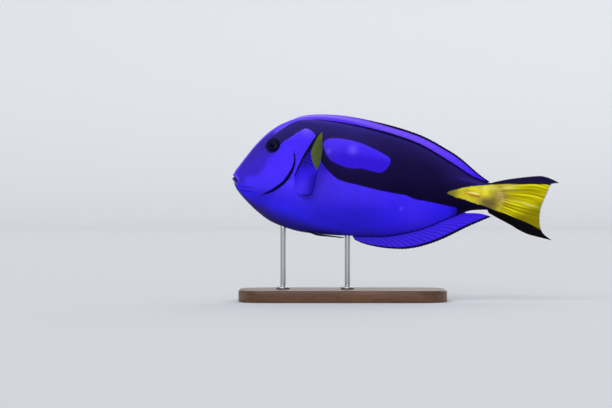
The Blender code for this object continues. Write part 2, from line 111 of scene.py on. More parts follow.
# The mouth slants down from the front of the snout: its line, seen from the side, and the lips beside it
MOUTH_Z, MOUTH_SLOPE = 84.3, -1.2
MOUTH_DEPTH = 2.6
MOUTH_CUT = 0.8
LIP_SPACING, LIP_WIDTH = 1.0, 0.55
LIP_CREASE = 0.2
UPPER_LIP_PROUD, LOWER_LIP_PROUD = 0.5, 0.9
NOSTRILS = ((20.2, 103.0, 0.9), (22.0, 103.8, 0.6))
NOSTRIL_RIM, NOSTRIL_DEPTH = 0.2, 0.8

SPINE_X, SPINE_Z = 161.6, 72.6
SPINE_LENGTH = 11.5
SPINE_HALF_HEIGHT = 1.5
SPINE_HALF_THICKNESS = 0.75
SPINE_TILT = math.radians(12.6)
GROOVE_DEPTH = 0.5
GROOVE_MARGIN = (1.2, 0.7)

# Scales: spacing along the body and across it at x, and their shape as shares of that spacing
SCALE_SIZE = (
    (4.0, 0.5), (12.0, 0.65), (35.0, 0.8), (60.0, 1.05), (120.0, 1.05), (150.0, 0.85), (177.0, 0.6),
)
SCALE_FROM, SCALE_TO = 4.5, 177.0
SCALE_MESHES = 4
COLUMN_SPACING, ROW_SPACING, SCALE_JITTER = 0.62, 1.12, 0.05

# Markings on the flank (x, z)
BLACK_UPPER = (
    (21.5, 104.5), (22.7, 107.6), (25.6, 110.4), (28.7, 113.2), (33.0, 116.2), (37.6, 119.2), (42.8, 121.6),
    (48.3, 122.8), (55.0, 123.0), (62.0, 124.5), (70.0, 130.0),
)
BLACK_LOWER = (
    (24.5, 100.2), (29.5, 101.2), (31.8, 105.2), (34.5, 108.0), (38.8, 110.7), (43.9, 114.1), (46.6, 115.8),
    (49.1, 116.5), (51.5, 116.0), (53.6, 114.6), (55.6, 112.0), (56.7, 107.4), (57.1, 102.0), (58.0, 97.0),
    (60.6, 92.6), (65.1, 87.2), (69.9, 83.0), (76.1, 80.4), (83.8, 78.6), (94.6, 75.9), (105.4, 73.5),
    (116.4, 71.6), (122.7, 69.0), (134.3, 66.8), (146.0, 64.2), (151.5, 62.5), (154.0, 55.0),
)
BLACK_REAR = ((190.0, 50.0), (200.0, 70.0), (190.0, 100.0), (150.0, 112.0), (100.0, 130.0))
OVAL = (
    (61.2, 103.7), (60.9, 106.6), (63.2, 109.1), (67.7, 110.1), (76.2, 109.3), (85.4, 107.0), (93.1, 103.9),
    (100.7, 100.0), (105.2, 97.1), (106.4, 94.3), (104.8, 90.6), (101.0, 87.5), (97.9, 86.8), (91.7, 88.3),
    (87.0, 89.5), (80.1, 89.6), (74.1, 91.0), (68.1, 93.8), (63.6, 97.8),
)
YELLOW = (
    (144.6, 73.3), (147.6, 74.7), (150.6, 75.4), (154.9, 76.5), (160.9, 77.6), (169.6, 78.4), (180.4, 79.1),
    (188.5, 79.1), (200.0, 79.0), (210.0, 78.8), (216.0, 78.3), (230.0, 77.0), (226.0, 44.0), (207.9, 48.4),
    (199.6, 52.9), (188.2, 57.6), (178.3, 61.2), (169.6, 64.4), (162.5, 66.5), (156.0, 68.9), (150.6, 70.3),
    (146.8, 71.9),
)
SNOUT = (
    (28.0, 101.0), (25.2, 96.4), (21.8, 91.8), (18.4, 86.6), (15.0, 83.9), (12.5, 84.2), (10.0, 84.0),
    (7.8, 80.8), (4.7, 79.2), (-8.0, 78.0), (-8.0, 110.0), (20.0, 125.0), (30.0, 118.0), (27.0, 106.0),
)

# Fins: thickness of the membrane, length of a ray's segments, how far the membrane draws in between the
# tips of the rays, as a share of their length, and how deep the roots are sunk
MEMBRANE = 0.3
RAY_SEGMENT = 1.1
SCALLOP = 0.02
ROOT_SINK = 2.0
DORSAL_ROOT, DORSAL_EDGE = (36.0, 170.0), (38.0, 173.5)
DORSAL_RISE = np.array([
    (38.0, -0.6), (41.0, -0.1), (45.3, 1.0), (53.0, 2.9), (62.0, 4.1), (70.0, 4.9), (76.0, 5.4), (100.0, 6.4),
    (123.0, 7.3), (143.0, 8.3), (151.0, 8.4), (159.0, 7.0), (167.0, 4.0), (173.5, 0.8),
])
ANAL_ROOT = (79.6, 155.0)
ANAL_EDGE = (
    (82.4, 41.4), (88.5, 38.7), (97.1, 36.6), (105.8, 35.4), (114.4, 35.0), (123.1, 35.9), (131.8, 38.1),
    (140.4, 41.2), (149.0, 45.2), (157.7, 49.6), (166.3, 53.4), (174.9, 57.1),
)
ANAL_REAR = ((158.0, 59.6), (162.0, 59.6), (167.3, 59.2))
TAIL_ROOT = ((171.6, 79.2), (171.6, 62.6))
TAIL_UPPER = ((178.8, 81.0), (184.8, 82.2), (197.0, 83.8), (207.2, 84.6), (211.5, 83.8), (215.7, 82.2))
TAIL_TRAILING = (
    (LENGTH, 79.7), (215.7, 79.1), (214.2, 77.6), (212.7, 74.0), (210.9, 69.8), (209.0, 65.5), (207.8, 61.3),
    (207.3, 56.4), (207.3, 52.2), (208.2, 48.6), (210.0, 45.5), (215.7, 41.0),
)
TAIL_LOWER = (
    (172.8, 59.8), (176.0, 57.8), (181.8, 54.6), (187.9, 51.3), (193.9, 47.7), (199.9, 45.0), (206.0, 43.4),
)
PECTORAL_ROOT = ((41.4, 83.4), (41.2, 79.6), (40.4, 75.4))
PECTORAL_LEADING = (
    (43.1, 17.3, 88.4), (44.9, 19.6, 92.8), (48.0, 23.6, 98.9), (53.0, 28.6, 106.8), (56.6, 31.4, 111.6),
)
PECTORAL_OUTER = (
    (60.5, 33.0, 113.8), (60.6, 33.2, 104.0), (59.4, 32.2, 94.5), (57.4, 30.8, 87.6), (56.0, 29.4, 82.0),
    (54.6, 27.8, 76.0),
)
PECTORAL_LOWER = ((45.3, 18.5, 72.2), (49.5, 23.0, 70.9), (52.6, 26.0, 71.6), (54.0, 27.1, 73.6))
PELVIC_ROOT = ((47.6, 3.2, 47.9), (52.6, 3.0, 47.3))
PELVIC_OUTER = ((53.0, 5.4, 46.2), (60.0, 6.4, 45.0), (68.0, 6.0, 44.0), (76.0, 4.6, 43.0))
PELVIC_INNER = ((57.0, 2.6, 44.5), (64.0, 2.6, 43.8), (70.0, 3.0, 43.2))
PELVIC_TIP = (73.6, 3.9, 42.8)
YELLOW_LEAF = (
    (60.6, 114.0), (59.6, 113.5), (56.6, 109.8), (53.5, 103.1), (52.7, 98.6), (54.0, 92.9), (56.5, 88.4),
    (58.0, 90.5), (62.0, 98.6), (63.0, 106.2), (63.0, 113.0),
)

# Stand
BASE_LENGTH, BASE_WIDTH, BASE_HEIGHT = 140.0, 76.0, 8.0
BASE_CENTRE_X = 74.0
BASE_CORNER = 20.0
# Radii that ease the edges below and above, and where rings lie on the flat top, in from its outline
EASE_BELOW, EASE_ABOVE = 0.6, 1.2
BASE_TOP_INSETS = (3.0, 12.0, BASE_CORNER)
ROD_X = {"front": 33.8, "rear": 77.4}
ROD_RADIUS = 1.8
COLLAR_RADIUS, COLLAR_HEIGHT = 4.5, 1.6
COLLAR_ROUND, COLLAR_FILLET = 0.5, 0.8
ROD_FOOT_GAP, ROD_SINK = 0.02, 3.0

# Sweep: radius of its flat part, radius of its bend, and steps around
STAGE_FLAT, STAGE_BEND, STAGE_STEPS = 5000.0, 1000.0, 128

# Camera: the photo's frame at the fish is VIEW_WIDTH wide, centred on VIEW_X, VIEW_Z
VIEW_WIDTH = 414.8
VIEW_X, VIEW_Z = 49.34, 65.7
LENS, SENSOR = 150.0, 36.0


def step(low, high, value):
    """Smooth step: 0 below low, 1 above high, with the cubic 3t^2 - 2t^3 between."""
    t = np.clip((value - low) / (high - low), 0.0, 1.0)
    return t * t * (3 - 2 * t)


def bell(*offs):
    """1 where every offset is 0, falling off with each of them as exp(-offset^2)."""
    return np.exp(-sum(off ** 2 for off in offs))


def smooth(knots, values, at):
    """Monotone cubic through the values, so that no bulge appears between two knots."""
    knots, values = np.asarray(knots, float), np.asarray(values, float)
    gap = np.diff(knots)
    slope = np.diff(values) / gap
    tangent = np.zeros(len(knots))
    tangent[0], tangent[-1] = slope[0], slope[-1]
    rising = slope[:-1] * slope[1:] > 0
    total = np.where(rising, slope[:-1] + slope[1:], 1.0)
    tangent[1:-1] = np.where(rising, 2 * slope[:-1] * slope[1:] / total, 0.0)
    at = np.clip(at, knots[0], knots[-1])
    i = np.clip(np.searchsorted(knots, at, side="right") - 1, 0, len(gap) - 1)
    t = (at - knots[i]) / gap[i]
    near = values[i] * (1 + 2 * t) * (1 - t) ** 2 + tangent[i] * gap[i] * t * (1 - t) ** 2
    far = values[i + 1] * t * t * (3 - 2 * t) + tangent[i + 1] * gap[i] * t * t * (t - 1)
    return near + far


def path(points, at):
    """A smooth curve through points, read at 0 to 1 of its chord length."""
    points = np.asarray(points, float)
    chords = np.linalg.norm(np.diff(points, axis=0), axis=1)
    knots = np.append(0.0, np.cumsum(chords)) / chords.sum()
    return np.stack([smooth(knots, column, at) for column in points.T], axis=-1)


def rounded(points, per):
    """A closed Catmull-Rom curve through the points, with that many steps between two of them."""
    p1 = np.asarray(points, float)[:, None]
    p0, p2, p3 = (np.roll(p1, shift, axis=0) for shift in (1, -1, -2))
    t = (np.arange(per) / per)[None, :, None]
    bend, twist = 2 * p0 - 5 * p1 + 4 * p2 - p3, 3 * p1 - p0 - 3 * p2 + p3
    return ((2 * p1 + (p2 - p0) * t + bend * t ** 2 + twist * t ** 3) / 2).reshape(-1, 2)


def inside_mm(x, z, outline):
    """How far a point lies inside a closed outline, in mm, and below 0 outside it.

    The distance is that to the nearest straight run, and each run that a line along x crosses
    changes the side.
    """
    nearest = np.full(x.shape, 1e9)
    inside = np.zeros(x.shape, bool)
    for (ax, az), (bx, bz) in zip(outline, np.roll(outline, -1, axis=0)):
        dx, dz = bx - ax, bz - az
        share = np.clip(((x - ax) * dx + (z - az) * dz) / (dx * dx + dz * dz + 1e-9), 0.0, 1.0)
        nearest = np.minimum(nearest, (x - ax - share * dx) ** 2 + (z - az - share * dz) ** 2)
        crossed = (az > z) != (bz > z)
        inside ^= crossed & (x < ax + dx * (z - az) / (dz if abs(dz) > 1e-9 else 1e-9))
    return np.where(inside, 1.0, -1.0) * np.sqrt(nearest)


def section(x):
    """Top line, bottom line and half width of the body at x. The root of x rounds the snout."""
    at = np.sqrt(np.clip(x, 0.0, BODY_END))
    return [smooth(np.sqrt(STATIONS[:, 0]), STATIONS[:, k], at) for k in (1, 2, 3)]


def midline(x):
    """Sideways place of the fish's middle plane: the tail swings to the left along a parabola."""
    reach = np.clip((x - SWING_START) / (LENGTH - SWING_START), 0.0, 1.0)
    return -TAIL_SWING * reach ** 2


def half_width(x, z):
    """Distance from the middle plane to the flank at x, z."""
    top, bottom, width = section(x)
    middle = (top + bottom) / 2
    lift = np.clip((z - middle) / np.maximum(top - middle, 0.01), -1.0, 1.0)
    fullness = np.where(lift > 0, FULLNESS_ABOVE, FULLNESS_BELOW)
    return width * (1 - np.abs(lift) ** fullness) ** (1 / fullness)


def placed(points):
    """Points of the fish's frame in metres, centred between the lips and the tip of the tail."""
    return (np.asarray(points, float) - (MODEL_CENTRE, 0.0, 0.0)) * MM


def unit(vectors):
    return vectors / np.maximum(np.linalg.norm(vectors, axis=-1, keepdims=True), 1e-9)


def linear(colour):
    """The linear value of an sRGB hex colour."""
    parts = [int(colour[k:k + 2], 16) / 255 for k in (0, 2, 4)]
    return [((c + 0.055) / 1.055) ** 2.4 if c > 0.04045 else c / 12.92 for c in parts] + [1.0]


def grid_faces(rows, columns, wrap=False):
    """Quads of a grid of points, its last column joined to its first where it wraps."""
    i = np.arange(rows - 1)[:, None] * columns
    j = np.arange(columns if wrap else columns - 1)[None, :]
    k = (j + 1) % columns
    return np.stack([i + j, i + k, i + columns + k, i + columns + j], axis=-1).reshape(-1, 4)


def capped(rings, ends):
    """Points and faces of a row of closed rings, drawn together to a point at each end."""
    rows, around = rings.shape[:2]
    points = np.vstack([rings.reshape(-1, 3), ends])
    j, last = np.arange(around), (rows - 1) * around
    k = (j + 1) % around
    low = np.stack([k, j, np.full_like(j, len(points) - 2)], axis=-1)
    high = np.stack([last + j, last + k, np.full_like(j, len(points) - 1)], axis=-1)
    return points, [grid_faces(rows, around, wrap=True), low, high]


def volume(points, faces):
    """Six times the volume inside closed faces, from the corners' triple products."""
    total = 0.0
    for group in faces:
        for k in range(1, group.shape[1] - 1):
            a, b, c = (points[group[:, n]] for n in (0, k, k + 1))
            total += np.einsum("ij,ij->", np.cross(a, b), c)
    return total


def add_object(name, data):
    obj = bpy.data.objects.new(name, data)
    bpy.context.scene.collection.objects.link(obj)
    return obj


def piece(name, points, faces, material, attributes=(), replaced=()):
    """A smooth closed mesh of the arrays, its faces turned outwards, riding on the object's one body."""
    points = np.asarray(points, float).reshape(-1, 3)
    if volume(points - points.mean(axis=0), faces) < 0:
        faces = [group[:, ::-1] for group in faces]
    mesh = bpy.data.meshes.new(name)
    sizes = np.concatenate([np.full(len(group), group.shape[1]) for group in faces])
    corners = np.concatenate([group.ravel() for group in faces])
    mesh.vertices.add(len(points))
    mesh.vertices.foreach_set("co", placed(points).ravel())
    mesh.loops.add(len(corners))
    mesh.loops.foreach_set("vertex_index", corners.astype(np.int32))
    mesh.polygons.add(len(sizes))
    mesh.polygons.foreach_set("loop_start", (np.cumsum(sizes) - sizes).astype(np.int32))
    mesh.update(calc_edges=True)
    mesh.shade_smooth()
    for key, values in dict(attributes).items():
        layer = mesh.attributes.new(key, "FLOAT", "POINT")
        layer.data.foreach_set("value", np.asarray(values, np.float32).ravel())
    mesh.materials.append(material)
    obj = add_object(name, mesh)
    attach(obj, "root")
    if replaced:
        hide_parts(*replaced)
    return obj


def fill(tree, target, inputs):
    """Set each input on the node's own socket, or link it."""
    for key, value in inputs.items():
        if isinstance(value, bpy.types.NodeSocket):
            tree.links.new(value, target.inputs[key])
        else:
            target.inputs[key].default_value = value


def node(tree, kind, inputs=(), out=0, stops=(), **settings):
    """Add a shader node, set its properties, set or link its inputs, and return one of its outputs.

    stops are the places and hex colours of a colour ramp.
    """
    new = tree.nodes.new("ShaderNode" + kind)
    for key, value in settings.items():
        setattr(new, key, value)
    fill(tree, new, dict(inputs))
    for k, (place, colour) in enumerate(stops):
        elements = new.color_ramp.elements
        element = elements[k] if k < 2 else elements.new(place)
        element.position = place
        element.color = linear(colour)
    return new.outputs[out]


def new_material(name):
    """A material with its tree, its shader and the place on the object, in metres."""
    material = bpy.data.materials.new(name)
    material.use_nodes = True
    tree = material.node_tree
    return material, tree, tree.nodes["Principled BSDF"], node(tree, "TexCoord", out="Object")


def attributes_of(tree, *keys):
    """The mesh attributes of these names, as shader values."""
    return {key: node(tree, "Attribute", out="Fac", attribute_name=key) for key in keys}


def noise(tree, vector, scale, detail):
    return node(tree, "TexNoise", {"Vector": vector, "Scale": scale, "Detail": detail})


def ramp(tree, value, stops):
    return node(tree, "ValToRGB", {0: value}, stops=stops)


def bumped(tree, height, strength, depth):
    """Normals of fine relief, depth millimetres for a height of 1."""
    return node(tree, "Bump", {"Height": height, "Strength": strength, "Distance": depth * MM})


def ranged(tree, value, start, end, low, high):
    """A value from start to end, mapped to low to high."""
    span = {"From Min": start, "From Max": end, "To Min": low, "To Max": high}
    return node(tree, "MapRange", {"Value": value, **span})


def body_surface(root_x, around):
    """The smooth body without its features, at x = root_x^2 and a turn around the section.

    around runs 0 to 1 up the left flank from belly to back and 1 to 2 down the right flank. The angle
    is spaced for even steps on an ellipse of SECTION_RATIO, and each section is a superellipse.
    """
    fine = np.linspace(-math.pi / 2, math.pi / 2, 721)
    speed = np.hypot(SECTION_RATIO * np.cos(fine), np.sin(fine))
    walked = np.append(0.0, np.cumsum((speed[1:] + speed[:-1]) / 2))
    around = np.mod(around, 2.0)
    share = np.where(around <= 1, around, 2 - around)
    side = np.where(around <= 1, -1.0, 1.0)
    angle = np.interp(share, walked / walked[-1], fine)
    x = root_x ** 2
    top, bottom, width = section(x)
    lift, out = np.sin(angle), np.cos(angle)
    closing = step(CLOSE_START, CLOSE_END, x + CLOSE_BOW * lift ** 2)
    width = np.maximum(width * (1 - closing), np.minimum(width, CLOSE_WIDTH))
    power = 2 / np.where(lift > 0, FULLNESS_ABOVE, FULLNESS_BELOW)
    z = (top + bottom) / 2 + np.sign(lift) * np.abs(lift) ** power * (top - bottom) / 2
    y = midline(x) + side * np.abs(out) ** power * width
    return np.stack(np.broadcast_arrays(x, y, z), axis=-1)


def body_normal(root_x, around):
    """Outward normal of the smooth body, from differences along it and around it."""
    d = 0.004
    along = body_surface(root_x + d, around) - body_surface(np.maximum(root_x - d, 1e-4), around)
    across = body_surface(root_x, around + d) - body_surface(root_x, around - d)
    return unit(np.cross(along, across))


HEAD_OUTLINE = np.vstack([path(GILL_LINE, np.linspace(0, 1, 70)), [(-20.0, 50.0), (-20.0, 140.0)]])


def from_mouth(x, z):
    """How far a place lies above the line of the mouth, or below 0 under it, seen from the side."""
    return (z - MOUTH_Z - MOUTH_SLOPE * x) / math.hypot(1.0, MOUTH_SLOPE)


def relief(x, z, flank):
    """How far the skin stands out of the smooth body, in mm: the forms of the head and tail stalk.

    The gill cover swells towards its margin and drops into the slit along it. A lid stands round the
    eye over its socket, each lip is a bell-shaped ridge beside the slit of the mouth, nostrils are
    rimmed pits, and the folded spine lies in a shallow groove.
    """
    ahead = inside_mm(x, z, HEAD_OUTLINE)
    slit = smooth(*zip(*GILL_HALF_WIDTH), z)
    span = step(GILL_LOW - 3, GILL_LOW + 4, z) * step(GILL_HIGH + 3, GILL_HIGH - 3, z) * flank
    swell = GILL_RAISE * np.clip(1 - (ahead - slit) / GILL_REACH, 0, 1) ** 1.6 * step(-0.5, 0.4, ahead - slit)
    groove = GILL_GROOVE * np.exp(-(ahead / (1.1 * slit)) ** 4)
    high = span * (swell - groove)

    eye = np.hypot(x - EYE_X, z - EYE_Z)
    high += flank * LID_RISE * bell((eye - LID_RADIUS) / LID_WIDTH)
    high -= flank * SOCKET_DEPTH * step(LID_RADIUS, LID_RADIUS - 1.1, eye)

    off = from_mouth(x, z)
    beside = step(MOUTH_DEPTH + 1.4, MOUTH_DEPTH - 0.6, x)
    proud = np.where(off > 0, UPPER_LIP_PROUD, LOWER_LIP_PROUD)
    high += proud * beside * bell((np.abs(off) - LIP_SPACING) / LIP_WIDTH)
    high -= LIP_CREASE * beside * bell((np.abs(off) - 2.2 * LIP_SPACING) / 0.5)
    high -= MOUTH_CUT * step(MOUTH_DEPTH + 0.3, MOUTH_DEPTH - 0.5, x) * bell(off / 0.28)

    for pit_x, pit_z, radius in NOSTRILS:
        off = np.hypot(x - pit_x, z - pit_z)
        rim, pit = bell((off - radius - 0.15) / 0.25), step(radius, 0.2, off)
        high += flank * (NOSTRIL_RIM * rim - NOSTRIL_DEPTH * pit)

    along = (x - SPINE_X) * math.cos(SPINE_TILT) - (z - SPINE_Z) * math.sin(SPINE_TILT)
    off = (z - SPINE_Z) * math.cos(SPINE_TILT) + (x - SPINE_X) * math.sin(SPINE_TILT)
    beyond, above = GROOVE_MARGIN
    reach = np.hypot(along / (SPINE_LENGTH / 2 + beyond), off / (SPINE_HALF_HEIGHT + above))
    high -= flank * GROOVE_DEPTH * step(1.15, 0.6, reach)
    return high


def skin_points(root_x, around):
    """The skin itself: the smooth body with its relief, less the coat's depth."""
    smooth_points = body_surface(root_x, around)
    normal = body_normal(root_x, around)
    share = np.mod(around, 1.0)
    flank = step(0.04, 0.14, share) * step(0.96, 0.86, share) * np.ones_like(root_x)
    high = relief(smooth_points[..., 0], smooth_points[..., 2], flank)
    return smooth_points + normal * (high - COAT_DEPTH)[..., None]


BLACK_OUTLINE = rounded(BLACK_UPPER + BLACK_REAR[::-1] + BLACK_LOWER[::-1], 5)
OVAL_OUTLINE = rounded(OVAL, 5)
YELLOW_OUTLINE = rounded(YELLOW, 4)
SNOUT_OUTLINE = np.array(SNOUT)
LEAF_OUTLINE = rounded(YELLOW_LEAF, 4)


# How far the painted highlight along the top of the head reaches down at x, and the painted shade along
# the underside up from the belly line
RIM_HIGHLIGHT_REACH = ((0.0, 4.0), (6.0, 3.0), (12.0, 2.4), (18.0, 2.2), (26.0, 2.8), (34.0, 3.4))
BELLY_SHADE_HEIGHT = ((0.5, 3.4), (4.0, 3.0), (12.0, 6.5), (22.0, 14.0), (42.0, 14.0), (58.0, 7.5), (80.0, 5.0))

# Painted shade in two folds of skin behind the mouth: height at x = 5, and slope
FOLDS = ((77.6, -0.1), (74.8, -0.08))

# Soft spots: place (x, z), reach along and across, slope and strength. Painted pools of shade, painted
# glints and pools of light, the fleshy patch over the roots of the tail's rays with the band below it,
# painted shine on the tail's yellow over the stalk, at the first rays and along one ray, and a painted amber
# shadow under the spine
SHADE_SPOTS = (
    (82.0, 57.0, 20.0, 9.0, 0.0, 0.2), (20.0, 71.0, 9.0, 5.0, 0.0, 0.3), (60.0, 57.0, 8.0, 4.0, 0.0, 0.12),
)
GLINT_SPOTS = (
    (80.8, 102.3, 3.0, 3.0, 0.0, 0.45), (64.4, 101.4, 1.8, 1.8, 0.0, 0.35), (38.6, 79.5, 2.5, 2.5, 0.0, 0.15),
    (49.5, 116.0, 2.6, 2.6, 0.0, 0.5), (113.5, 62.6, 1.0, 1.0, 0.0, 0.4), (56.0, 77.0, 12.0, 12.0, 0.0, 0.12),
    (123.0, 60.0, 13.0, 13.0, 0.0, 0.08), (66.0, 103.0, 7.0, 7.0, 0.0, 0.1),
)
TAN_SPOTS = ((180.6, 71.0, 6.0, 6.5, 0.0, 1.0), (174.0, 66.0, 9.0, 1.8, -0.2, 0.8))
CREAM_SPOTS = (
    (173.5, 76.4, 6.0, 1.6, 0.0, 0.45), (186.0, 77.0, 5.0, 1.6, 0.0, 0.6),
    (199.0, 65.5, 7.0, 0.7, -0.32, 0.6),
)
AMBER_SPOTS = ((163.0, 71.2, 7.0, 1.5, -0.2, 0.6),)


def soft_spots(x, z, table):
    """How strongly each soft spot of a table shows at x, z: bells, which may lie aslant."""
    return [strength * bell((x - a) / along, (z - b - slope * (x - a)) / across)
            for a, b, along, across, slope, strength in table]


def strongest(x, z, table):
    return np.maximum.reduce(soft_spots(x, z, table))


def markings(points):
    """The attributes that colour skin and scales alike, worked out from each point's place.

    Those that end in _mm are distances inside a marking's border. The others run from 0 to 1. vivid is the
    purer blue low on the rear flank. Several are painted light and shade: a highlight along the top of the
    head, glints and pools of light, a sheen line on the tail stalk, pools of shade, shade along the
    underside, in the lower oval and in the folds behind the mouth, and shadow in the gill slit and the
    mouth. On the tail's yellow, dull, amber and cream are painted shade, a painted shadow under the spine
    and painted shine, and olive is painted shade on its front tip.
    """
    x, z = points[:, 0], points[:, 2]
    top, bottom, _ = section(x)
    height = np.clip((z - bottom) / np.maximum(top - bottom, 0.1), 0, 1)
    black = np.minimum(inside_mm(x, z, BLACK_OUTLINE), -inside_mm(x, z, OVAL_OUTLINE))
    slit = smooth(*zip(*GILL_HALF_WIDTH), z) - np.abs(inside_mm(x, z, HEAD_OUTLINE))
    slit = slit - 2 * (1 - step(GILL_LOW - 2, GILL_LOW + 1, z) * step(101.5, 99.5, z))
    off = from_mouth(x, z)
    mouth = 0.6 - np.abs(off) - step(MOUTH_DEPTH, MOUTH_DEPTH + 0.8, x)
    muzzle = step(0.3, 0.8, off) * step(3.2, 2.0, off) * step(5.0, 3.0, x)
    pale = smooth(*zip(*RIM_HIGHLIGHT_REACH), x)
    fold = sum(bell((z - at - slope * (x - 5)) / 0.5) for at, slope in FOLDS)
    belly_shade = smooth(*zip(*BELLY_SHADE_HEIGHT), x)
    # Painted shade along the back where the dorsal fin rises from it, and the black darker towards the rear
    dorsal_base_shade = 0.25 * step(1.2, 0.4, top - z) * step(60.0, 80.0, x)
    dim = 0.38 * step(75.0, 112.0, x) * step(-0.5, 0.5, black)
    # A painted sheen line along the top of the dark tail stalk
    ridge = bell((z - 82.6 + 0.25 * (x - 155.8)) / 0.8) * step(150.0, 156.0, x)
    ridge = ridge + 0.25 * bell((z - 82.5 + 0.2 * (x - 155.8)) / 4.0) * step(138.0, 150.0, x)
    ridge = np.minimum(ridge, 1.0) * step(172.0, 166.0, x)
    return {
        "height": height,
        "black_mm": black,
        "yellow_mm": inside_mm(x, z, YELLOW_OUTLINE),
        # Painted shadow in the gill slit and the mouth
        "line_mm": np.maximum(slit, mouth),
        "snout_mm": inside_mm(x, z, SNOUT_OUTLINE),
        # A painted highlight along the top of the head, and a paler band above the mouth
        "rim": np.maximum(step(pale, 0.3 * pale, top - z) * step(60.0, 45.0, x), 0.7 * muzzle),
        # Painted shade along the underside, up from the belly line
        "belly_shade": step(belly_shade, 0.08 * belly_shade, z - bottom) * step(80.0, 62.0, x),
        # Painted shade: pools of it, along the dorsal fin's base and on the rear of the black
        "shade": sum(soft_spots(x, z, SHADE_SPOTS)) + dorsal_base_shade + dim,
        "blush": step(48.0, 12.0, x),
        "lip": step(-2.2, -1.6, off) * step(-0.1, -0.5, off) * step(3.4, 2.2, x),
        # Painted shade in the folds behind the mouth
        "fold": fold * step(3.5, 6.0, x) * step(17.0, 11.0, x),
        # Painted shade on the lower part of the blue oval
        "deep": step(0.8, 0.7, height) * step(0.5, 0.6, height) * step(55.0, 64.0, x),
        "dusk": step(143.0, 157.0, x) * step(72.0, 66.0, z),
        "vivid": 0.5 * step(88.0, 118.0, x) * step(0.6, 0.45, height),
        "tan": strongest(x, z, TAN_SPOTS),
        # On the tail's yellow: painted shine, painted shade low down, a painted shadow under the spine, and
        # painted shade on its front tip
        "cream": strongest(x, z, CREAM_SPOTS),
        "dull": 0.9 * step(72.5, 67.5, z) * step(163.0, 170.0, x) * step(183.0, 174.0, x),
        "amber": strongest(x, z, AMBER_SPOTS),
        "olive": step(157.0, 147.0, x),
        # Painted glints and pools of light
        "glint": sum(soft_spots(x, z, GLINT_SPOTS)),
        # The painted sheen line on the tail stalk
        "ridge": ridge,
    }


# Blue by height, from belly (0) to back (1): darker towards the belly, partly the fish's own countershading
# and partly painted shade of the top light, with a painted highlight along the very top
BLUE_STOPS = (
    (0.0, "3226CC"), (0.1, "2E24EA"), (0.245, "3426EC"), (0.376, "442FF4"), (0.55, "4A2FFA"), (0.8, "442AF4"),
    (1.0, "6D51FD"))
# Black by height: near-black low down and lighter violet towards the back, a painted sheen of the top light
BLACK_STOPS = (
    (0.0, "05040F"), (0.3, "0A081E"), (0.5, "0F0C2A"), (0.75, "19133E"), (0.9, "281E62"), (0.955, "2C2170"),
    (1.0, "382E98"))
TAN_STOPS = ((0.35, "88702A"), (0.52, "9E8838"), (0.68, "B8A25C"))
# Colour of the painted shine on the tail's yellow
CREAM = "EEE878"
SHEEN = "7A54FF"


def within(tree, distance, drift=None, wander=0.0, low=-0.35, high=0.35):
    """1 inside a border and 0 outside it, from a distance in mm that a noise moves to and fro."""
    if drift is not None:
        moved = node(tree, "MapRange", {"Value": drift, "To Min": -wander, "To Max": wander}, clamp=False)
        distance = node(tree, "Math", {0: distance, 1: moved}, operation="ADD")
    return node(tree, "MapRange", {"Value": distance, "From Min": low, "From Max": high},
                interpolation_type="SMOOTHSTEP")


def over(tree, share, below, above):
    """One colour laid over another by a share. A hex string is a plain colour."""
    above = linear(above) if isinstance(above, str) else above
    return node(tree, "Mix", {0: share, 6: below, 7: above}, 2, data_type="RGBA")


def layered(tree, read, colour, layers):
    """Colours laid one over the other, each by the share that its attribute gives."""
    for key, above in layers:
        colour = over(tree, read[key], colour, above)
    return colour


def scaled_by(tree, colour, value, low, high, start=0.0, end=1.0):
    """A colour made darker or brighter, from low to high, as a value goes from start to end."""
    factor = ranged(tree, value, start, end, low, high)
    return node(tree, "VectorMath", {0: colour, "Scale": factor}, operation="SCALE")


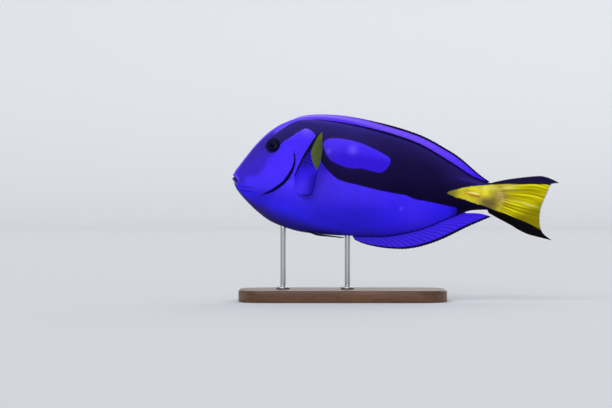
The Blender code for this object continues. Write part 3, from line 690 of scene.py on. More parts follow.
def fish_skin(name, scaled):
    """Living fish skin, a wet satin: soft highlights, velvety blue that deepens towards the belly.

    The deepening is partly the fish's own countershading and partly painted shade, and painted highlights,
    glints, sheen and shade are laid into the colour as well. Where it is scaled, one scale is a little
    lighter or darker than the next.
    """
    material, tree, shader, place = new_material(name)
    read = attributes_of(
        tree, "height", "black_mm", "yellow_mm", "line_mm", "snout_mm", "rim", "belly_shade", "blush", "lip", "fold",
        "deep", "vivid", "dusk", "tan", "olive", "glint", "ridge", "shade", "dull", "cream", "amber", "tone")
    mottle = noise(tree, place, 160.0, 4.0)
    ragged = noise(tree, place, 900.0, 2.0)
    # Blue by height: painted shade towards the belly besides the fish's own countershading, and a painted
    # highlight along the top
    blue = ramp(tree, read["height"], BLUE_STOPS)
    # Painted shade on the lower part of the oval, then the purer blue low on the rear flank
    blue = layered(tree, read, blue, (("deep", "3318D6"), ("vivid", "2E12FF")))
    snout = ramp(tree, read["height"], ((0.72, "3826C2"), (0.92, "38299E")))
    face = over(tree, within(tree, read["snout_mm"], mottle, 4.0, -2.0, 2.4), blue, snout)
    # Colour of the painted shade along the underside, redder towards the chin
    under = over(tree, read["blush"], linear("241E80"), "2E1E62")
    # The painted highlight along the top of the head, the painted shade along the underside, and the lips'
    # grey
    face = layered(tree, read, face, (("rim", "6542FE"), ("belly_shade", under), ("lip", "5E5A92")))
    # Painted shade in the folds behind the mouth
    face = scaled_by(tree, face, read["fold"], 1.0, 0.5)
    face = scaled_by(tree, face, mottle, 0.94, 1.05, 0.3, 0.7)
    # Painted glints and pools of light
    face = over(tree, read["glint"], face, "8068FF")
    # The black with its painted sheen, and a painted sheen line along the tail stalk
    black = ramp(tree, read["height"], BLACK_STOPS)
    black = over(tree, read["ridge"], black, "3A2A90")
    face = over(tree, read["dusk"], face, black)
    marked = over(tree, within(tree, read["black_mm"], ragged, 0.5), face, black)
    # Painted shade: pools of it, along the dorsal fin's base and on the rear of the black
    marked = scaled_by(tree, marked, read["shade"], 1.0, 0.2, 0.0, 0.8)
    yellow = ramp(tree, mottle, ((0.3, "C4B814"), (0.5, "DCD21C"), (0.7, "ECE430")))
    # On the yellow: painted shade on its front tip, a painted amber shadow under the spine, the fleshy tan
    # patch, painted shade low down and painted shine
    yellow = layered(tree, read, yellow, (
        ("olive", "76740E"), ("amber", "D09A10"), ("tan", ramp(tree, mottle, TAN_STOPS)),
        ("dull", "6C5C28"), ("cream", CREAM)))
    tailed = over(tree, within(tree, read["yellow_mm"], ragged, 0.6), marked, yellow)
    # Painted shadow in the gill slit and the mouth
    lined = over(tree, within(tree, read["line_mm"], low=-0.5, high=0.4), tailed, "08071A")
    if scaled:
        lined = scaled_by(tree, lined, read["tone"], 0.95, 1.05)
    grain = noise(tree, place, 2200.0, 3.0)
    fill(tree, shader, {
        "Base Color": lined, "Roughness": ranged(tree, grain, 0.3, 0.7, 0.38, 0.5),
        "Normal": bumped(tree, grain, 0.25, 0.06), "Specular IOR Level": 0.2, "Specular Tint": linear(SHEEN)})
    return material


def make_skin():
    """One closed grid of rings from the snout to the root of the tail fin, with a point at each end."""
    at = np.linspace(0, math.sqrt(CLOSE_END), 4000) ** 2
    count = np.append(0.0, np.cumsum(np.diff(at) / smooth(*zip(*RING_SPACING), at[1:])))
    x = np.interp(np.arange(0.5, count[-1]), count, at)
    around = np.arange(AROUND_STEPS) * 2.0 / AROUND_STEPS
    root_x, turn = np.meshgrid(np.sqrt(x), around, indexing="ij")
    rings = skin_points(root_x, turn)
    points, faces = capped(rings, rings[[0, -1]].mean(axis=1))
    piece("skin", points, faces, fish_skin("fish_skin_wet_satin", False), markings(points),
          ("head", "trunk", "tail_stalk"))


# One scale: corners as shares of its length back, half height across and thickness out
SCALE_FORM = np.array([
    (-0.55, 0.0, -0.9), (-0.3, 0.62, -0.6), (0.1, 1.0, -0.1), (0.42, 0.72, 0.5), (0.58, 0.0, 0.75),
    (0.42, -0.72, 0.5), (0.1, -1.0, -0.1), (-0.3, -0.62, -0.6), (0.05, 0.0, 1.0), (0.05, 0.0, -1.2),
])
SCALE_RIM = np.arange(8)
SCALE_FACES = np.vstack([
    np.stack([SCALE_RIM, (SCALE_RIM + 1) % 8, np.full(8, 8)], axis=-1),
    np.stack([(SCALE_RIM + 1) % 8, SCALE_RIM, np.full(8, 9)], axis=-1),
])
SCALE_SPAN = (1.25, 0.66, 0.055)


def scale_places(side, rng):
    """Places of the scales on one flank: columns along x, every other one moved by half a step.

    The spacing follows SCALE_SIZE, so that scales are smallest on the face and the tail stalk.
    Returns the root of x, the turn, the size and how far round the flank each lies.
    """
    at = np.linspace(SCALE_FROM, SCALE_TO, 3000)
    size_at = smooth(*zip(*SCALE_SIZE), at)
    count = np.cumsum(1 / (COLUMN_SPACING * size_at)) * (at[1] - at[0])
    x = np.interp(np.arange(0.5, count[-1]), count, at)
    size = smooth(*zip(*SCALE_SIZE), x)
    around = np.linspace(0, 1, 60)
    ring = body_surface(np.sqrt(x)[:, None], around[None, :])
    girth = np.linalg.norm(np.diff(ring, axis=1), axis=-1).sum(axis=1)
    # More rows than the widest ring holds: those past back and belly are left out
    rows = np.arange(-80, 81)[None, :] + 0.5 * (np.arange(len(x)) % 2)[:, None]
    share = 0.5 + rows * (ROW_SPACING * size / girth)[:, None]
    share = share + rng.normal(0, SCALE_JITTER, share.shape) * (size / girth)[:, None]
    x = x[:, None] + rng.normal(0, SCALE_JITTER, share.shape) * size[:, None]
    size = np.broadcast_to(size[:, None], share.shape)
    z = body_surface(np.sqrt(x), share)[..., 2]
    kept = (share > 0.015) & (share < 0.985)
    kept &= np.hypot(x - EYE_X, z - EYE_Z) > LID_RADIUS + 0.7
    kept &= (np.abs(from_mouth(x, z)) > 2.6) | (x > 7.0)
    off_slit = np.abs(inside_mm(x, z, HEAD_OUTLINE)) - smooth(*zip(*GILL_HALF_WIDTH), z)
    kept &= (off_slit > 0) | (z < GILL_LOW) | (z > GILL_HIGH)
    for pit_x, pit_z, radius in NOSTRILS:
        kept &= np.hypot(x - pit_x, z - pit_z) > radius + 0.5
    kept &= np.hypot((x - SPINE_X) / (SPINE_LENGTH / 2 + 0.6), (z - SPINE_Z + 0.2 * (x - SPINE_X)) / 2.3) > 1
    x, share, size = x[kept], share[kept], size[kept]
    turn = share if side < 0 else 2 - share
    return np.sqrt(x), turn, size, share


def make_coat(material):
    """Scales as thin closed lenses, root sunk in the skin and rear edge free, in joined meshes."""
    rng = np.random.default_rng(7)
    for name, side in SIDES.items():
        root_x, turn, size, share = scale_places(side, rng)
        centre = skin_points(root_x, turn)
        back = unit(skin_points(root_x + 0.02, turn) - centre)
        across = unit(skin_points(root_x, turn + 0.004) - centre)
        out = unit(np.cross(back, across))
        across = np.cross(out, back)
        jitter = rng.uniform(0.92, 1.08, (3, len(size)))
        span = (jitter * size * np.array(SCALE_SPAN)[:, None]).T
        form = SCALE_FORM[None] * span[:, None]
        points = centre[:, None] + form[..., :1] * back[:, None] + form[..., 1:2] * across[:, None]
        points = points + form[..., 2:] * out[:, None]
        tone = rng.uniform(0, 1, len(size))
        zone = np.argsort(np.argsort(root_x, kind="stable"), kind="stable") * SCALE_MESHES // len(root_x)
        for part in range(SCALE_MESHES):
            chosen = zone == part
            some = points[chosen].reshape(-1, 3)
            first = np.arange(chosen.sum())[:, None, None] * len(SCALE_FORM)
            faces = (SCALE_FACES[None] + first).reshape(-1, 3)
            marks = markings(some)
            marks["tone"] = np.repeat(tone[chosen], len(SCALE_FORM))
            coat = piece(f"scales_{name}_{part + 1}", some, [faces], material, marks)
            # Its rim is sharp, so that a scale takes the light as the skin under it does
            coat.data.set_sharp_from_angle(angle=math.radians(60))
            spread = np.ptp(root_x[chosen])
            u = (root_x[chosen] - root_x[chosen].min()) / spread * 0.98 + 0.01
            patch = np.stack([u, share[chosen]], axis=-1)[:, None]
            patch = patch + SCALE_FORM[None, :, :2] * (0.0026, 0.0014)
            layer = coat.data.uv_layers.new(name="OFBake")
            layer.data.foreach_set("uv", patch.reshape(-1, 2)[faces.ravel()].ravel())


def coons(borders, u, v, pull):
    """A surface between four border curves: root and outer edge along u, first and last ray along v.

    Straight rays run from root to edge. How far the first and last border bend away from their own
    straight ray is added, fading into the fin as a power of the way across.
    """
    root, edge, first, last = (np.asarray(border, float) for border in borders)
    straight = (1 - v)[..., None] * path(root, u) + v[..., None] * path(edge, u)
    bend_first = path(first, v) - (1 - v)[..., None] * root[0] - v[..., None] * edge[0]
    bend_last = path(last, v) - (1 - v)[..., None] * root[-1] - v[..., None] * edge[-1]
    return straight + bend_first * (1 - u)[..., None] ** pull + bend_last * u[..., None] ** pull


def ray_ridge(phase, v, fork_at):
    """Height of the nearest fin ray, 0 to 1: bell-shaped, one to a unit of phase, forked beyond fork_at."""
    off = np.abs(phase - np.floor(phase) - 0.5)
    fork = 0.23 * step(fork_at, min(fork_at + 0.45, 1.0), v)
    wide = 0.17 - 0.06 * step(fork_at, 1.0, v)
    return bell((off - fork) / wide)


def fin(solid, borders, rays, per_ray, rows, ridges, material, marks, side=0, slant=0.0,
        fork_at=0.55, pull=1.0):
    """A fin as one closed thin body: two faces either side of a Coons surface, stitched at their borders.

    It has per_ray steps from one ray to the next and rows steps from root to edge. ridges gives how
    thick the rays are at the root and at the edge. Rays are cut by fine joints every RAY_SEGMENT, and
    the membrane is drawn in a little between their tips. marks turns the places and the distances from
    the outer edge and from the first and last ray into colour attributes.
    """
    u, v = np.meshgrid(np.linspace(0, 1, rays * per_ray + 1), np.linspace(0, 1, rows + 1), indexing="ij")
    phase = rays * (u - slant * v)
    ridge = ray_ridge(phase, v, fork_at)
    drawn = v * (1 - SCALLOP * (1 - ridge) * v ** 6)
    middle = coons(borders, u, drawn, pull)
    middle[..., 1] = middle[..., 1] * (side or 1) + midline(middle[..., 0])
    normal = unit(np.cross(np.gradient(middle, axis=0), np.gradient(middle, axis=1)))
    length = np.pad(np.linalg.norm(np.diff(middle, axis=1), axis=-1).cumsum(axis=1), ((0, 0), (1, 0)))
    from_first = np.pad(np.linalg.norm(np.diff(middle, axis=0), axis=-1).cumsum(axis=0), ((1, 0), (0, 0)))
    joint = bell((np.mod(length / RAY_SEGMENT, 1.0) - 0.5) / 0.13) * step(0.2, 0.5, v)
    from_edge, from_last = length[:, -1:] - length, from_first[-1:] - from_first
    thin = step(-0.05, 0.5, np.minimum.reduce([from_edge, from_first + 0.15, from_last + 0.15]))
    tall = ridges[0] + (ridges[1] - ridges[0]) * v
    half = MEMBRANE * (1.15 - 0.5 * v) + (tall - MEMBRANE) * ridge * (1 - 0.3 * joint)
    half = half * (0.25 + 0.75 * thin) / 2
    front, back = middle + normal * half[..., None], middle - normal * half[..., None]
    columns = rows + 1
    count = middle.shape[0] * columns
    sheet = grid_faces(middle.shape[0], columns)
    rim = np.concatenate([
        np.arange(columns), columns * np.arange(1, middle.shape[0]) + rows,
        count - 1 - np.arange(1, columns), columns * np.arange(middle.shape[0] - 2, 0, -1)])
    after = np.roll(rim, -1)
    wall = np.stack([after, rim, rim + count, after + count], axis=-1)
    points = np.concatenate([front.reshape(-1, 3), back.reshape(-1, 3)])
    faces = [np.concatenate([sheet[:, ::-1], sheet + count, wall[:, ::-1]])]
    of_ray = np.clip(np.floor(phase).astype(int) + rays // 2, 0, None)
    tone = np.random.default_rng(11).uniform(0, 1, 2 * rays)[of_ray]
    attributes = {"ray": ridge, "along": phase / rays, "out": v, "reach_mm": length, "tone": tone}
    attributes.update(marks(middle[..., 0], middle[..., 2], from_edge, from_first, from_last))
    attributes = {key: np.tile(np.broadcast_to(value, u.shape).ravel(), 2)
                  for key, value in attributes.items()}
    piece(f"{solid}_rayed", points, faces, material, attributes, (solid,))


def dorsal_marks(x, z, from_edge, from_first, from_last):
    """Black along the base and along the outer margin, which widens towards the tail, and a painted sheen
    along the middle.
    """
    margin = smooth((40, 90, 110, 145, 160, 174), (-0.6, 0.5, 1.5, 1.4, 1.2, 0.9), x)
    base = smooth((40, 60, 75, 110, 142, 165), (-1.5, 0.2, 0.6, 1.3, 1.4, 1.0), x)
    middle = smooth((40, 60, 80, 110, 150, 170), (0.8, 1.1, 1.8, 3.2, 3.7, 2.3), x)
    core = bell((from_edge - middle) / (0.75 * middle))
    return {"black_mm": np.maximum(margin - from_edge, base - (z - section(x)[0])), "core": core}


def anal_marks(x, z, from_edge, from_first, from_last):
    """A black margin all along the fin and a dark base line."""
    margin = smooth((80, 100, 150, 176), (0.9, 1.4, 2.1, 2.2), x)
    base = smooth((80, 120, 150, 156), (0.5, 0.6, 0.5, 0.0), x)
    return {"black_mm": np.maximum(margin - from_edge, base - (section(x)[1] - z))}


def tail_marks(x, z, from_edge, from_first, from_last):
    """Yellow between black lobes, its tan patch, painted shine and painted shade on the low rays, and a dark
    rear edge.
    """
    return {"yellow_mm": inside_mm(x, z, YELLOW_OUTLINE), "black_mm": 0.3 - from_edge,
            "tan": strongest(x, z, TAN_SPOTS), "cream": strongest(x, z, CREAM_SPOTS),
            "dull": 0.85 * step(68.0, 58.0, z - 0.5 * (x - 200.0))}


def pectoral_marks(x, z, from_edge, from_first, from_last):
    """A black leading edge, a yellow leaf at the tip, dots between, thin dark margins and a darker rear."""
    leading = smooth((84.0, 88.6, 94.0, 99.5, 104.0, 111.0), (1.8, 2.2, 2.5, 3.0, 4.1, 4.6), z) - from_first
    rear = 1.1 * step(93.0, 86.0, z) - from_edge
    lower = 1.1 - from_last - 3 * step(48.0, 45.0, x)
    return {"leaf_mm": inside_mm(x, z, LEAF_OUTLINE), "black_mm": leading, "soft_mm": np.maximum(rear, lower),
            "rear": step(18.0, 3.0, from_edge) * step(90.0, 83.0, z), "dots": step(88.0, 94.0, z),
            "height": np.clip((z - 72.0) / 40.0, 0, 1)}


def pelvic_marks(x, z, from_edge, from_first, from_last):
    """Dark blue with a black outer ray and tip."""
    return {"black_mm": np.maximum(0.6 - from_edge, 1.0 - from_first)}


# Dots of the pectoral fin, in staggered rows half a DOT_PERIOD apart: the real ones, about 1 mm apart, are
# too fine to show. They repeat DOTS_ACROSS times from the first ray to the last
DOTS_ACROSS, DOT_PERIOD = 7, 3.0

# The attribute that the base colour follows, its colours, and how dark the membrane is beside the rays
FIN_COLOURS = {
    "dorsal": ("along", ((0.0, "7854FF"), (0.25, "5836FF"), (0.6, "4C2CF8"), (1.0, "3820D8")), 0.9),
    "anal": ("along", ((0.0, "4832FF"), (0.3, "4830FF"), (1.0, "4428FF")), 0.64),
    "pelvic": ("along", ((0.0, "15103C"), (1.0, "241C80")), 0.8),
    "pectoral": ("height", (
        (0.17, "4A32FF"), (0.27, "3C26F8"), (0.38, "341CE6"), (0.5, "2C16CC"), (0.75, "200FA0"),
        (1.0, "180C70")), 0.85),
    "tail": ("along", ((0.0, "1C1446"), (0.4, "140E30"), (0.8, "06050E"), (1.0, "04030A")), 0.8),
}


def fin_finish(kind):
    """Fin membrane over bony rays, a wet satin with the rays a little brighter than the skin between."""
    material, tree, shader, place = new_material(f"{kind}_membrane")
    read = attributes_of(
        tree, "ray", "along", "out", "reach_mm", "tone", "black_mm", "yellow_mm", "leaf_mm", "soft_mm",
        "dots", "dull", "tan", "cream", "height", "core", "rear")
    lay = node(tree, "CombineXYZ", {0: read["along"], 1: read["out"]})
    stretched = node(tree, "VectorMath", {0: lay, 1: (36.0, 1.0, 1.0)}, operation="MULTIPLY")
    streak = noise(tree, stretched, 1.0, 3.0)
    ragged = noise(tree, place, 1100.0, 2.0)
    follows, stops, between = FIN_COLOURS[kind]
    base = ramp(tree, read[follows], stops)
    if kind == "pectoral":
        across, outward = (
            node(tree, "Math", {0: node(tree, "Math", {0: read[key], 1: turns}, operation="MULTIPLY")},
                 operation="SINE")
            for key, turns in (("along", 2 * math.pi * DOTS_ACROSS), ("reach_mm", 2 * math.pi / DOT_PERIOD)))
        lattice = node(tree, "Math", {0: across, 1: outward}, operation="MULTIPLY")
        dot = within(tree, lattice, low=0.0, high=0.4)
        dot = node(tree, "Math", {0: dot, 1: read["dots"]}, operation="MULTIPLY")
        base = over(tree, dot, base, "0A0726")
    base = scaled_by(tree, base, read["ray"], between, 1.04)
    if kind == "anal":
        base = scaled_by(tree, base, read["out"], 1.1, 0.85, 0.3, 1.0)
    if kind == "dorsal":
        # A painted sheen along the middle of the dorsal fin, palest at its front
        core = ramp(tree, read["along"], (
            (0.0, "AA8CFF"), (0.35, "805CFF"), (0.6, "7850FF"), (0.8, "5C36FF"), (0.92, "3814F4")))
        base = over(tree, read["core"], base, core)
    if kind == "tail":
        gold = ramp(tree, streak, ((0.32, "908400"), (0.5, "C4BA06"), (0.66, "F4EA22")))
        gold = scaled_by(tree, gold, read["tone"], 0.78, 1.14)
        gold = scaled_by(tree, gold, read["ray"], 0.84, 1.06)
        tan = ramp(tree, streak, TAN_STOPS)
        # Painted shade on the low rays, the fleshy tan patch and painted shine
        gold = layered(tree, read, gold, (("dull", "786E06"), ("tan", tan), ("cream", CREAM)))
        base = over(tree, within(tree, read["yellow_mm"], streak, 0.5), base, gold)
    if kind == "pectoral":
        base = over(tree, read["rear"], base, "2012A8")
        base = over(tree, within(tree, read["soft_mm"], low=-0.9, high=1.0), base, "120A5C")
        leaf = ramp(tree, streak, ((0.3, "3E4824"), (0.55, "4C5828"), (0.8, "647218")))
        leaf = scaled_by(tree, leaf, read["out"], 1.3, 0.82, 0.7, 1.0)
        leaf = over(tree, within(tree, read["height"], low=0.86, high=1.0), leaf, "5A6816")
        leaf_share = within(tree, read["leaf_mm"], low=-0.3, high=0.6)
    edged = within(tree, read["black_mm"], ragged, 0.25, -0.2, 0.3)
    base = over(tree, edged, base, "0A081C" if kind != "tail" else "16142A")
    if kind == "pectoral":
        base = over(tree, leaf_share, base, leaf)
    fill(tree, shader, {
        "Base Color": base, "Roughness": 0.42, "Specular IOR Level": 0.03 if kind == "tail" else 0.1,
        "Specular Tint": linear("FFF6A0" if kind == "tail" else SHEEN),
        "Normal": bumped(tree, ragged, 0.2, 0.06)})
    return material


def upright(lines):
    """Lines of points (x, z) in the fish's middle plane, as x, y, z."""
    return [[(x, 0.0, z) for x, z in line] for line in lines]


def make_fins():
    root = [(x, section(x)[0] - ROOT_SINK) for x in np.linspace(*DORSAL_ROOT, 24)]
    edge = [(x, section(x)[0] + smooth(*DORSAL_RISE.T, x)) for x in np.linspace(*DORSAL_EDGE, 24)]
    borders = upright((root, edge, (root[0], edge[0]), (root[-1], edge[-1])))
    fin("dorsal_fin", borders, 29, 10, 24, (0.8, 0.4), fin_finish("dorsal"), dorsal_marks, slant=0.06)
    root = [(x, section(x)[1] + ROOT_SINK) for x in np.linspace(*ANAL_ROOT, 20)]
    borders = upright((root, ANAL_EDGE, (root[0], ANAL_EDGE[0]), (root[-1], *ANAL_REAR, ANAL_EDGE[-1])))
    fin("anal_fin", borders, 22, 14, 40, (0.8, 0.4), fin_finish("anal"), anal_marks, slant=0.08)
    upper = (TAIL_ROOT[0], *TAIL_UPPER, TAIL_TRAILING[0])
    lower = (TAIL_ROOT[1], *TAIL_LOWER, TAIL_TRAILING[-1])
    borders = upright((TAIL_ROOT, TAIL_TRAILING, upper, lower))
    fin("caudal_fin", borders, 18, 14, 84, (1.0, 0.45), fin_finish("tail"), tail_marks,
        fork_at=0.3, pull=3.0)

    root = [(x, float(half_width(x, z)) - ROOT_SINK, z) for x, z in PECTORAL_ROOT]
    leading = (root[0], *PECTORAL_LEADING, PECTORAL_OUTER[0])
    lower = (root[-1], *PECTORAL_LOWER, PECTORAL_OUTER[-1])
    borders = (root, PECTORAL_OUTER, leading, lower)
    pelvic_outer, pelvic_inner = (PELVIC_ROOT[0], *PELVIC_OUTER), (PELVIC_ROOT[1], *PELVIC_INNER)
    pelvic_edge = (pelvic_outer[-1], PELVIC_TIP, pelvic_inner[-1])
    pelvic_borders = (PELVIC_ROOT, pelvic_edge, pelvic_outer, pelvic_inner)
    pectoral, pelvic = fin_finish("pectoral"), fin_finish("pelvic")
    for name, side in SIDES.items():
        fin(f"pectoral_fin_{name}", borders, 16, 12, 72, (0.7, 0.4), pectoral, pectoral_marks, side,
            fork_at=0.4)
        fin(f"pelvic_fin_{name}", pelvic_borders, 5, 10, 60, (0.7, 0.4), pelvic, pelvic_marks, side)


def flank_frame(x, z, side, sink=0.0):
    """A place on the flank with its three directions: back along the skin, up along it, and out of it."""
    d = 0.5
    slope_x = (half_width(x + d, z) - half_width(x - d, z)) / (2 * d)
    slope_z = (half_width(x, z + d) - half_width(x, z - d)) / (2 * d)
    drift = (midline(x + d) - midline(x - d)) / (2 * d)
    out = unit(np.array([-slope_x - side * drift, side, -slope_z]))
    back = unit(np.array([1.0, 0.0, 0.0]) - out * out[0])
    up = np.cross(out, back)
    origin = np.array([x, midline(x) + side * half_width(x, z), z]) - out * sink
    return origin, back, up, out


def revolved(profile, steps):
    """Rings of points: (radius, height) points carried round the z axis."""
    radius, height = np.asarray(profile, float).T[..., None]
    angle = np.arange(steps) * 2 * math.pi / steps
    return np.stack(np.broadcast_arrays(radius * np.cos(angle), radius * np.sin(angle), height), axis=-1)


def turned(profile, steps):
    """A closed turned shape: (radius, height) points carried round an axis, with a point at each end."""
    ends = [(0.0, 0.0, height) for _, height in (profile[0], profile[-1])]
    return capped(revolved(profile[1:-1], steps), ends)


def make_eyes():
    """Each eye is a turned lens, domed in front and with its back hidden in the socket."""
    # Wet cornea: nearly black, with a faint violet ring of iris and one small sharp highlight
    material, tree, shader, place = new_material("eye_wet_cornea")
    radius = attributes_of(tree, "radius")["radius"]
    fleck = noise(tree, place, 1500.0, 3.0)
    wander = node(tree, "Math", {0: fleck, 1: 0.05, 2: radius}, operation="MULTIPLY_ADD")
    iris = ramp(tree, wander, (
        (0.0, "020205"), (0.42, "030309"), (0.52, "120F34"), (0.6, "0F0C2E"), (0.8, "0D0A2A"),
        (0.97, "050410")))
    fill(tree, shader, {
        "Base Color": iris, "Roughness": 0.12, "Specular IOR Level": 0.04, "Specular Tint": linear(SHEEN),
        "Coat Weight": 0.05, "Coat Roughness": 0.03})
    for name, side in SIDES.items():
        origin, back, up, out = flank_frame(EYE_X, EYE_Z, side, EYE_SINK)
        lift = np.linspace(-math.pi / 2, math.pi / 2, 41)
        profile = np.stack([EYE_RADIUS * np.cos(lift), EYE_HALF_DEPTH * np.sin(lift)], axis=-1)
        local, faces = turned(profile, 64)
        points = origin + local[:, :1] * back + local[:, 1:2] * up + local[:, 2:] * out
        share = np.hypot(local[:, 0], local[:, 1]) / EYE_RADIUS
        piece(f"eye_{name}_globe", points, faces, material, {"radius": share}, (f"eye_{name}",))


def make_spines():
    """Each folded spine is a flattened spindle that tapers to a point at its front."""
    # Enamel, hard: pale along the top of the spine, a painted highlight, and amber below, painted shade
    material, tree, shader, place = new_material("tail_spine_enamel")
    lift = attributes_of(tree, "lift")["lift"]
    grain = noise(tree, place, 900.0, 3.0)
    colour = ramp(tree, lift, (
        (0.0, "B07800"), (0.42, "D4A010"), (0.6, "E8D82C"), (0.8, "FFFBC0"), (1.0, "E4DA2C")))
    fill(tree, shader, {"Base Color": colour, "Roughness": 0.3, "Normal": bumped(tree, grain, 0.2, 0.05)})
    for name, side in SIDES.items():
        origin, back, up, out = flank_frame(SPINE_X, SPINE_Z, side, -0.05)
        rear = math.cos(SPINE_TILT) * back + side * math.sin(SPINE_TILT) * up
        rise = np.cross(out, rear)
        turn = np.linspace(-math.pi / 2, math.pi / 2, 49)
        taper = 0.62 + 0.38 * np.sin(turn)
        profile = np.stack([np.cos(turn) * taper, np.sin(turn)], axis=-1)
        local, faces = turned(profile, 28)
        points = origin + local[:, 2:] * rear * SPINE_LENGTH / 2 + local[:, :1] * rise * SPINE_HALF_HEIGHT
        points = points + local[:, 1:2] * out * SPINE_HALF_THICKNESS
        share = np.clip(points[:, 2] - SPINE_Z - 0.22 * (SPINE_X - points[:, 0]), -1.5, 1.5) / 3 + 0.5
        piece(f"caudal_spine_{name}_blade", points, faces, material, {"lift": share},
              (f"caudal_spine_{name}",))


def make_stand():
    """Base: a rounded rectangle outline drawn in by a profile that eases its edges. Rods: turned."""
    # Oiled walnut: long warm brown grain with fine dark pores and a dull sheen
    material, tree, shader, place = new_material("walnut_oiled")
    lengthened = node(tree, "Mapping", {"Vector": place, "Scale": (0.12, 1.0, 1.0)})
    rings = node(tree, "TexNoise", {"Vector": lengthened, "Scale": 90.0, "Detail": 6.0, "Distortion": 0.6})
    pores = noise(tree, lengthened, 1400.0, 2.0)
    wood = ramp(tree, rings, ((0.3, "3A2415"), (0.45, "5A3A22"), (0.55, "6B472B"), (0.7, "4A2E1B")))
    fill(tree, shader, {
        "Base Color": scaled_by(tree, wood, pores, 0.7, 1.05, 0.35, 0.6), "Roughness": 0.42,
        "Normal": bumped(tree, pores, 0.25, 0.1)})

    angle = np.linspace(0, math.pi / 2, 13)
    corner = np.stack([np.cos(angle), np.sin(angle)], axis=-1)
    quarter_turns = ((1, 0, 0, 1), (0, -1, 1, 0), (-1, 0, 0, -1), (0, 1, -1, 0))
    half = np.array([BASE_LENGTH / 2 - BASE_CORNER, BASE_WIDTH / 2 - BASE_CORNER])
    signs = ((1, 1), (-1, 1), (-1, -1), (1, -1))
    outward = np.concatenate([corner @ np.array(turn, float).reshape(2, 2).T for turn in quarter_turns])
    centres = np.repeat(half * np.array(signs), len(angle), axis=0)
    ease = np.linspace(0, math.pi / 2, 6)
    under = ease[::2]
    inset = np.concatenate([
        [BASE_CORNER], EASE_BELOW * (1 - np.sin(under)), EASE_ABOVE * (1 - np.cos(ease)), BASE_TOP_INSETS])
    height = np.concatenate([
        [0.0], EASE_BELOW * (1 - np.cos(under)), BASE_HEIGHT - EASE_ABOVE * (1 - np.sin(ease)),
        np.full(len(BASE_TOP_INSETS), BASE_HEIGHT)])
    rings = centres[None] + outward[None] * (BASE_CORNER - inset)[:, None, None]
    rings = np.concatenate([rings, np.broadcast_to(height[:, None, None], rings.shape[:2] + (1,))], axis=-1)
    rings[..., 0] += BASE_CENTRE_X
    points, faces = capped(rings, [(BASE_CENTRE_X, 0.0, 0.0), (BASE_CENTRE_X, 0.0, BASE_HEIGHT)])
    piece("stand_base_walnut", points, faces, material, (), ("stand_base",))

    # Brushed stainless steel: a cool grey shine, blurred around the rod by fine marks
    steel, tree, shader, place = new_material("stainless_steel_brushed")
    rubbed = node(tree, "Mapping", {"Vector": place, "Scale": (1.0, 1.0, 14.0)})
    brush = noise(tree, rubbed, 700.0, 3.0)
    fill(tree, shader, {
        "Base Color": linear("B9BBBE"), "Metallic": 1.0, "Normal": bumped(tree, brush, 0.15, 0.03),
        "Roughness": ranged(tree, brush, 0.3, 0.7, 0.22, 0.4)})
    for name, x in ROD_X.items():
        foot, reach = BASE_HEIGHT + ROD_FOOT_GAP, float(section(x)[1]) + ROD_SINK
        rim = foot + COLLAR_HEIGHT
        profile = [(0.0, foot), (COLLAR_RADIUS, foot), (COLLAR_RADIUS, rim - COLLAR_ROUND),
                   (COLLAR_RADIUS - 0.15, rim - 0.15), (COLLAR_RADIUS - COLLAR_ROUND, rim),
                   (ROD_RADIUS + COLLAR_FILLET, rim), (ROD_RADIUS + 0.25, rim + 0.25),
                   (ROD_RADIUS, rim + COLLAR_FILLET)]
        profile += [(ROD_RADIUS, h) for h in np.linspace(rim + 1.0, reach, 12)] + [(0.0, reach)]
        local, faces = turned(profile, 48)
        piece(f"stand_rod_{name}_steel", local + (x, float(midline(x)), 0.0), faces, steel, (),
              (f"stand_rod_{name}",))


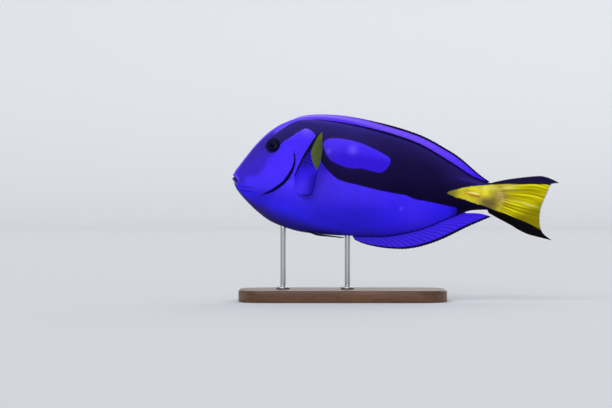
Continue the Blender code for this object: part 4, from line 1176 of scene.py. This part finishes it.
def make_stage():
    """A pale floor that curves up far behind the camera on every side, like a round studio sweep."""
    angle = np.linspace(0, math.pi / 2, 16)
    bend = [(STAGE_FLAT + STAGE_BEND * math.sin(a), STAGE_BEND * (1 - math.cos(a))) for a in angle]
    rings = [(r, 0.0) for r in (300.0, 1000.0, 2500.0)] + bend
    points = np.vstack([revolved(rings, STAGE_STEPS).reshape(-1, 3), [(0.0, 0.0, 0.0)]]) * MM
    j = np.arange(STAGE_STEPS)
    centre = np.stack([j, (j + 1) % STAGE_STEPS, np.full_like(j, len(points) - 1)], axis=-1)
    faces = grid_faces(len(rings), STAGE_STEPS, wrap=True)[:, ::-1].tolist() + centre.tolist()
    mesh = bpy.data.meshes.new("floor")
    mesh.from_pydata(points.tolist(), [], faces)
    mesh.shade_smooth()
    # Matt paper: an even pale grey that shows soft shadows and no shine
    material, tree, shader, _ = new_material("paper_sweep_matt")
    fill(tree, shader, {"Base Color": linear("D6D8DC"), "Roughness": 0.9, "Specular IOR Level": 0.1})
    mesh.materials.append(material)
    add_object("floor", mesh)


def add_sun(name, toward, strength, spread):
    """Soft light from one direction, even over the whole sweep. The lamp's own +Z is turned to it."""
    data = bpy.data.lights.new(name, "SUN")
    data.energy = strength
    data.angle = spread
    x, y, z = unit(np.array(toward))
    add_object(name, data).rotation_euler = (math.acos(z), 0.0, math.atan2(x, -y))


def make_lights_and_camera():
    world = bpy.data.worlds.new("studio")
    world.use_nodes = True
    background = world.node_tree.nodes["Background"]
    fill(world.node_tree, background, {"Color": linear("F4F5F8"), "Strength": 0.5})
    bpy.context.scene.world = world
    add_sun("key", (-0.4, -0.51, 0.76), 0.98, 0.9)
    add_sun("front", (-0.1, -1.0, 0.15), 1.44, 0.6)
    add_sun("back", (0.3, 0.8, 0.6), 0.9, 0.9)
    add_sun("glint", (-0.45, -0.75, 0.75), 0.2, 0.12)
    data = bpy.data.cameras.new("camera")
    data.lens = LENS
    data.sensor_width = SENSOR
    data.clip_start = 0.05
    data.clip_end = 100.0
    camera = add_object("camera", data)
    distance = VIEW_WIDTH * LENS / SENSOR
    camera.location = placed((VIEW_X, -distance, VIEW_Z))
    camera.rotation_euler = (math.pi / 2, 0.0, 0.0)
    bpy.context.scene.camera = camera
    bpy.context.scene.view_settings.view_transform = "Standard"


make_lights_and_camera()
make_stage()
make_skin()
make_coat(fish_skin("fish_scales_wet_satin", True))
make_fins()
make_eyes()
make_spines()
make_stand()
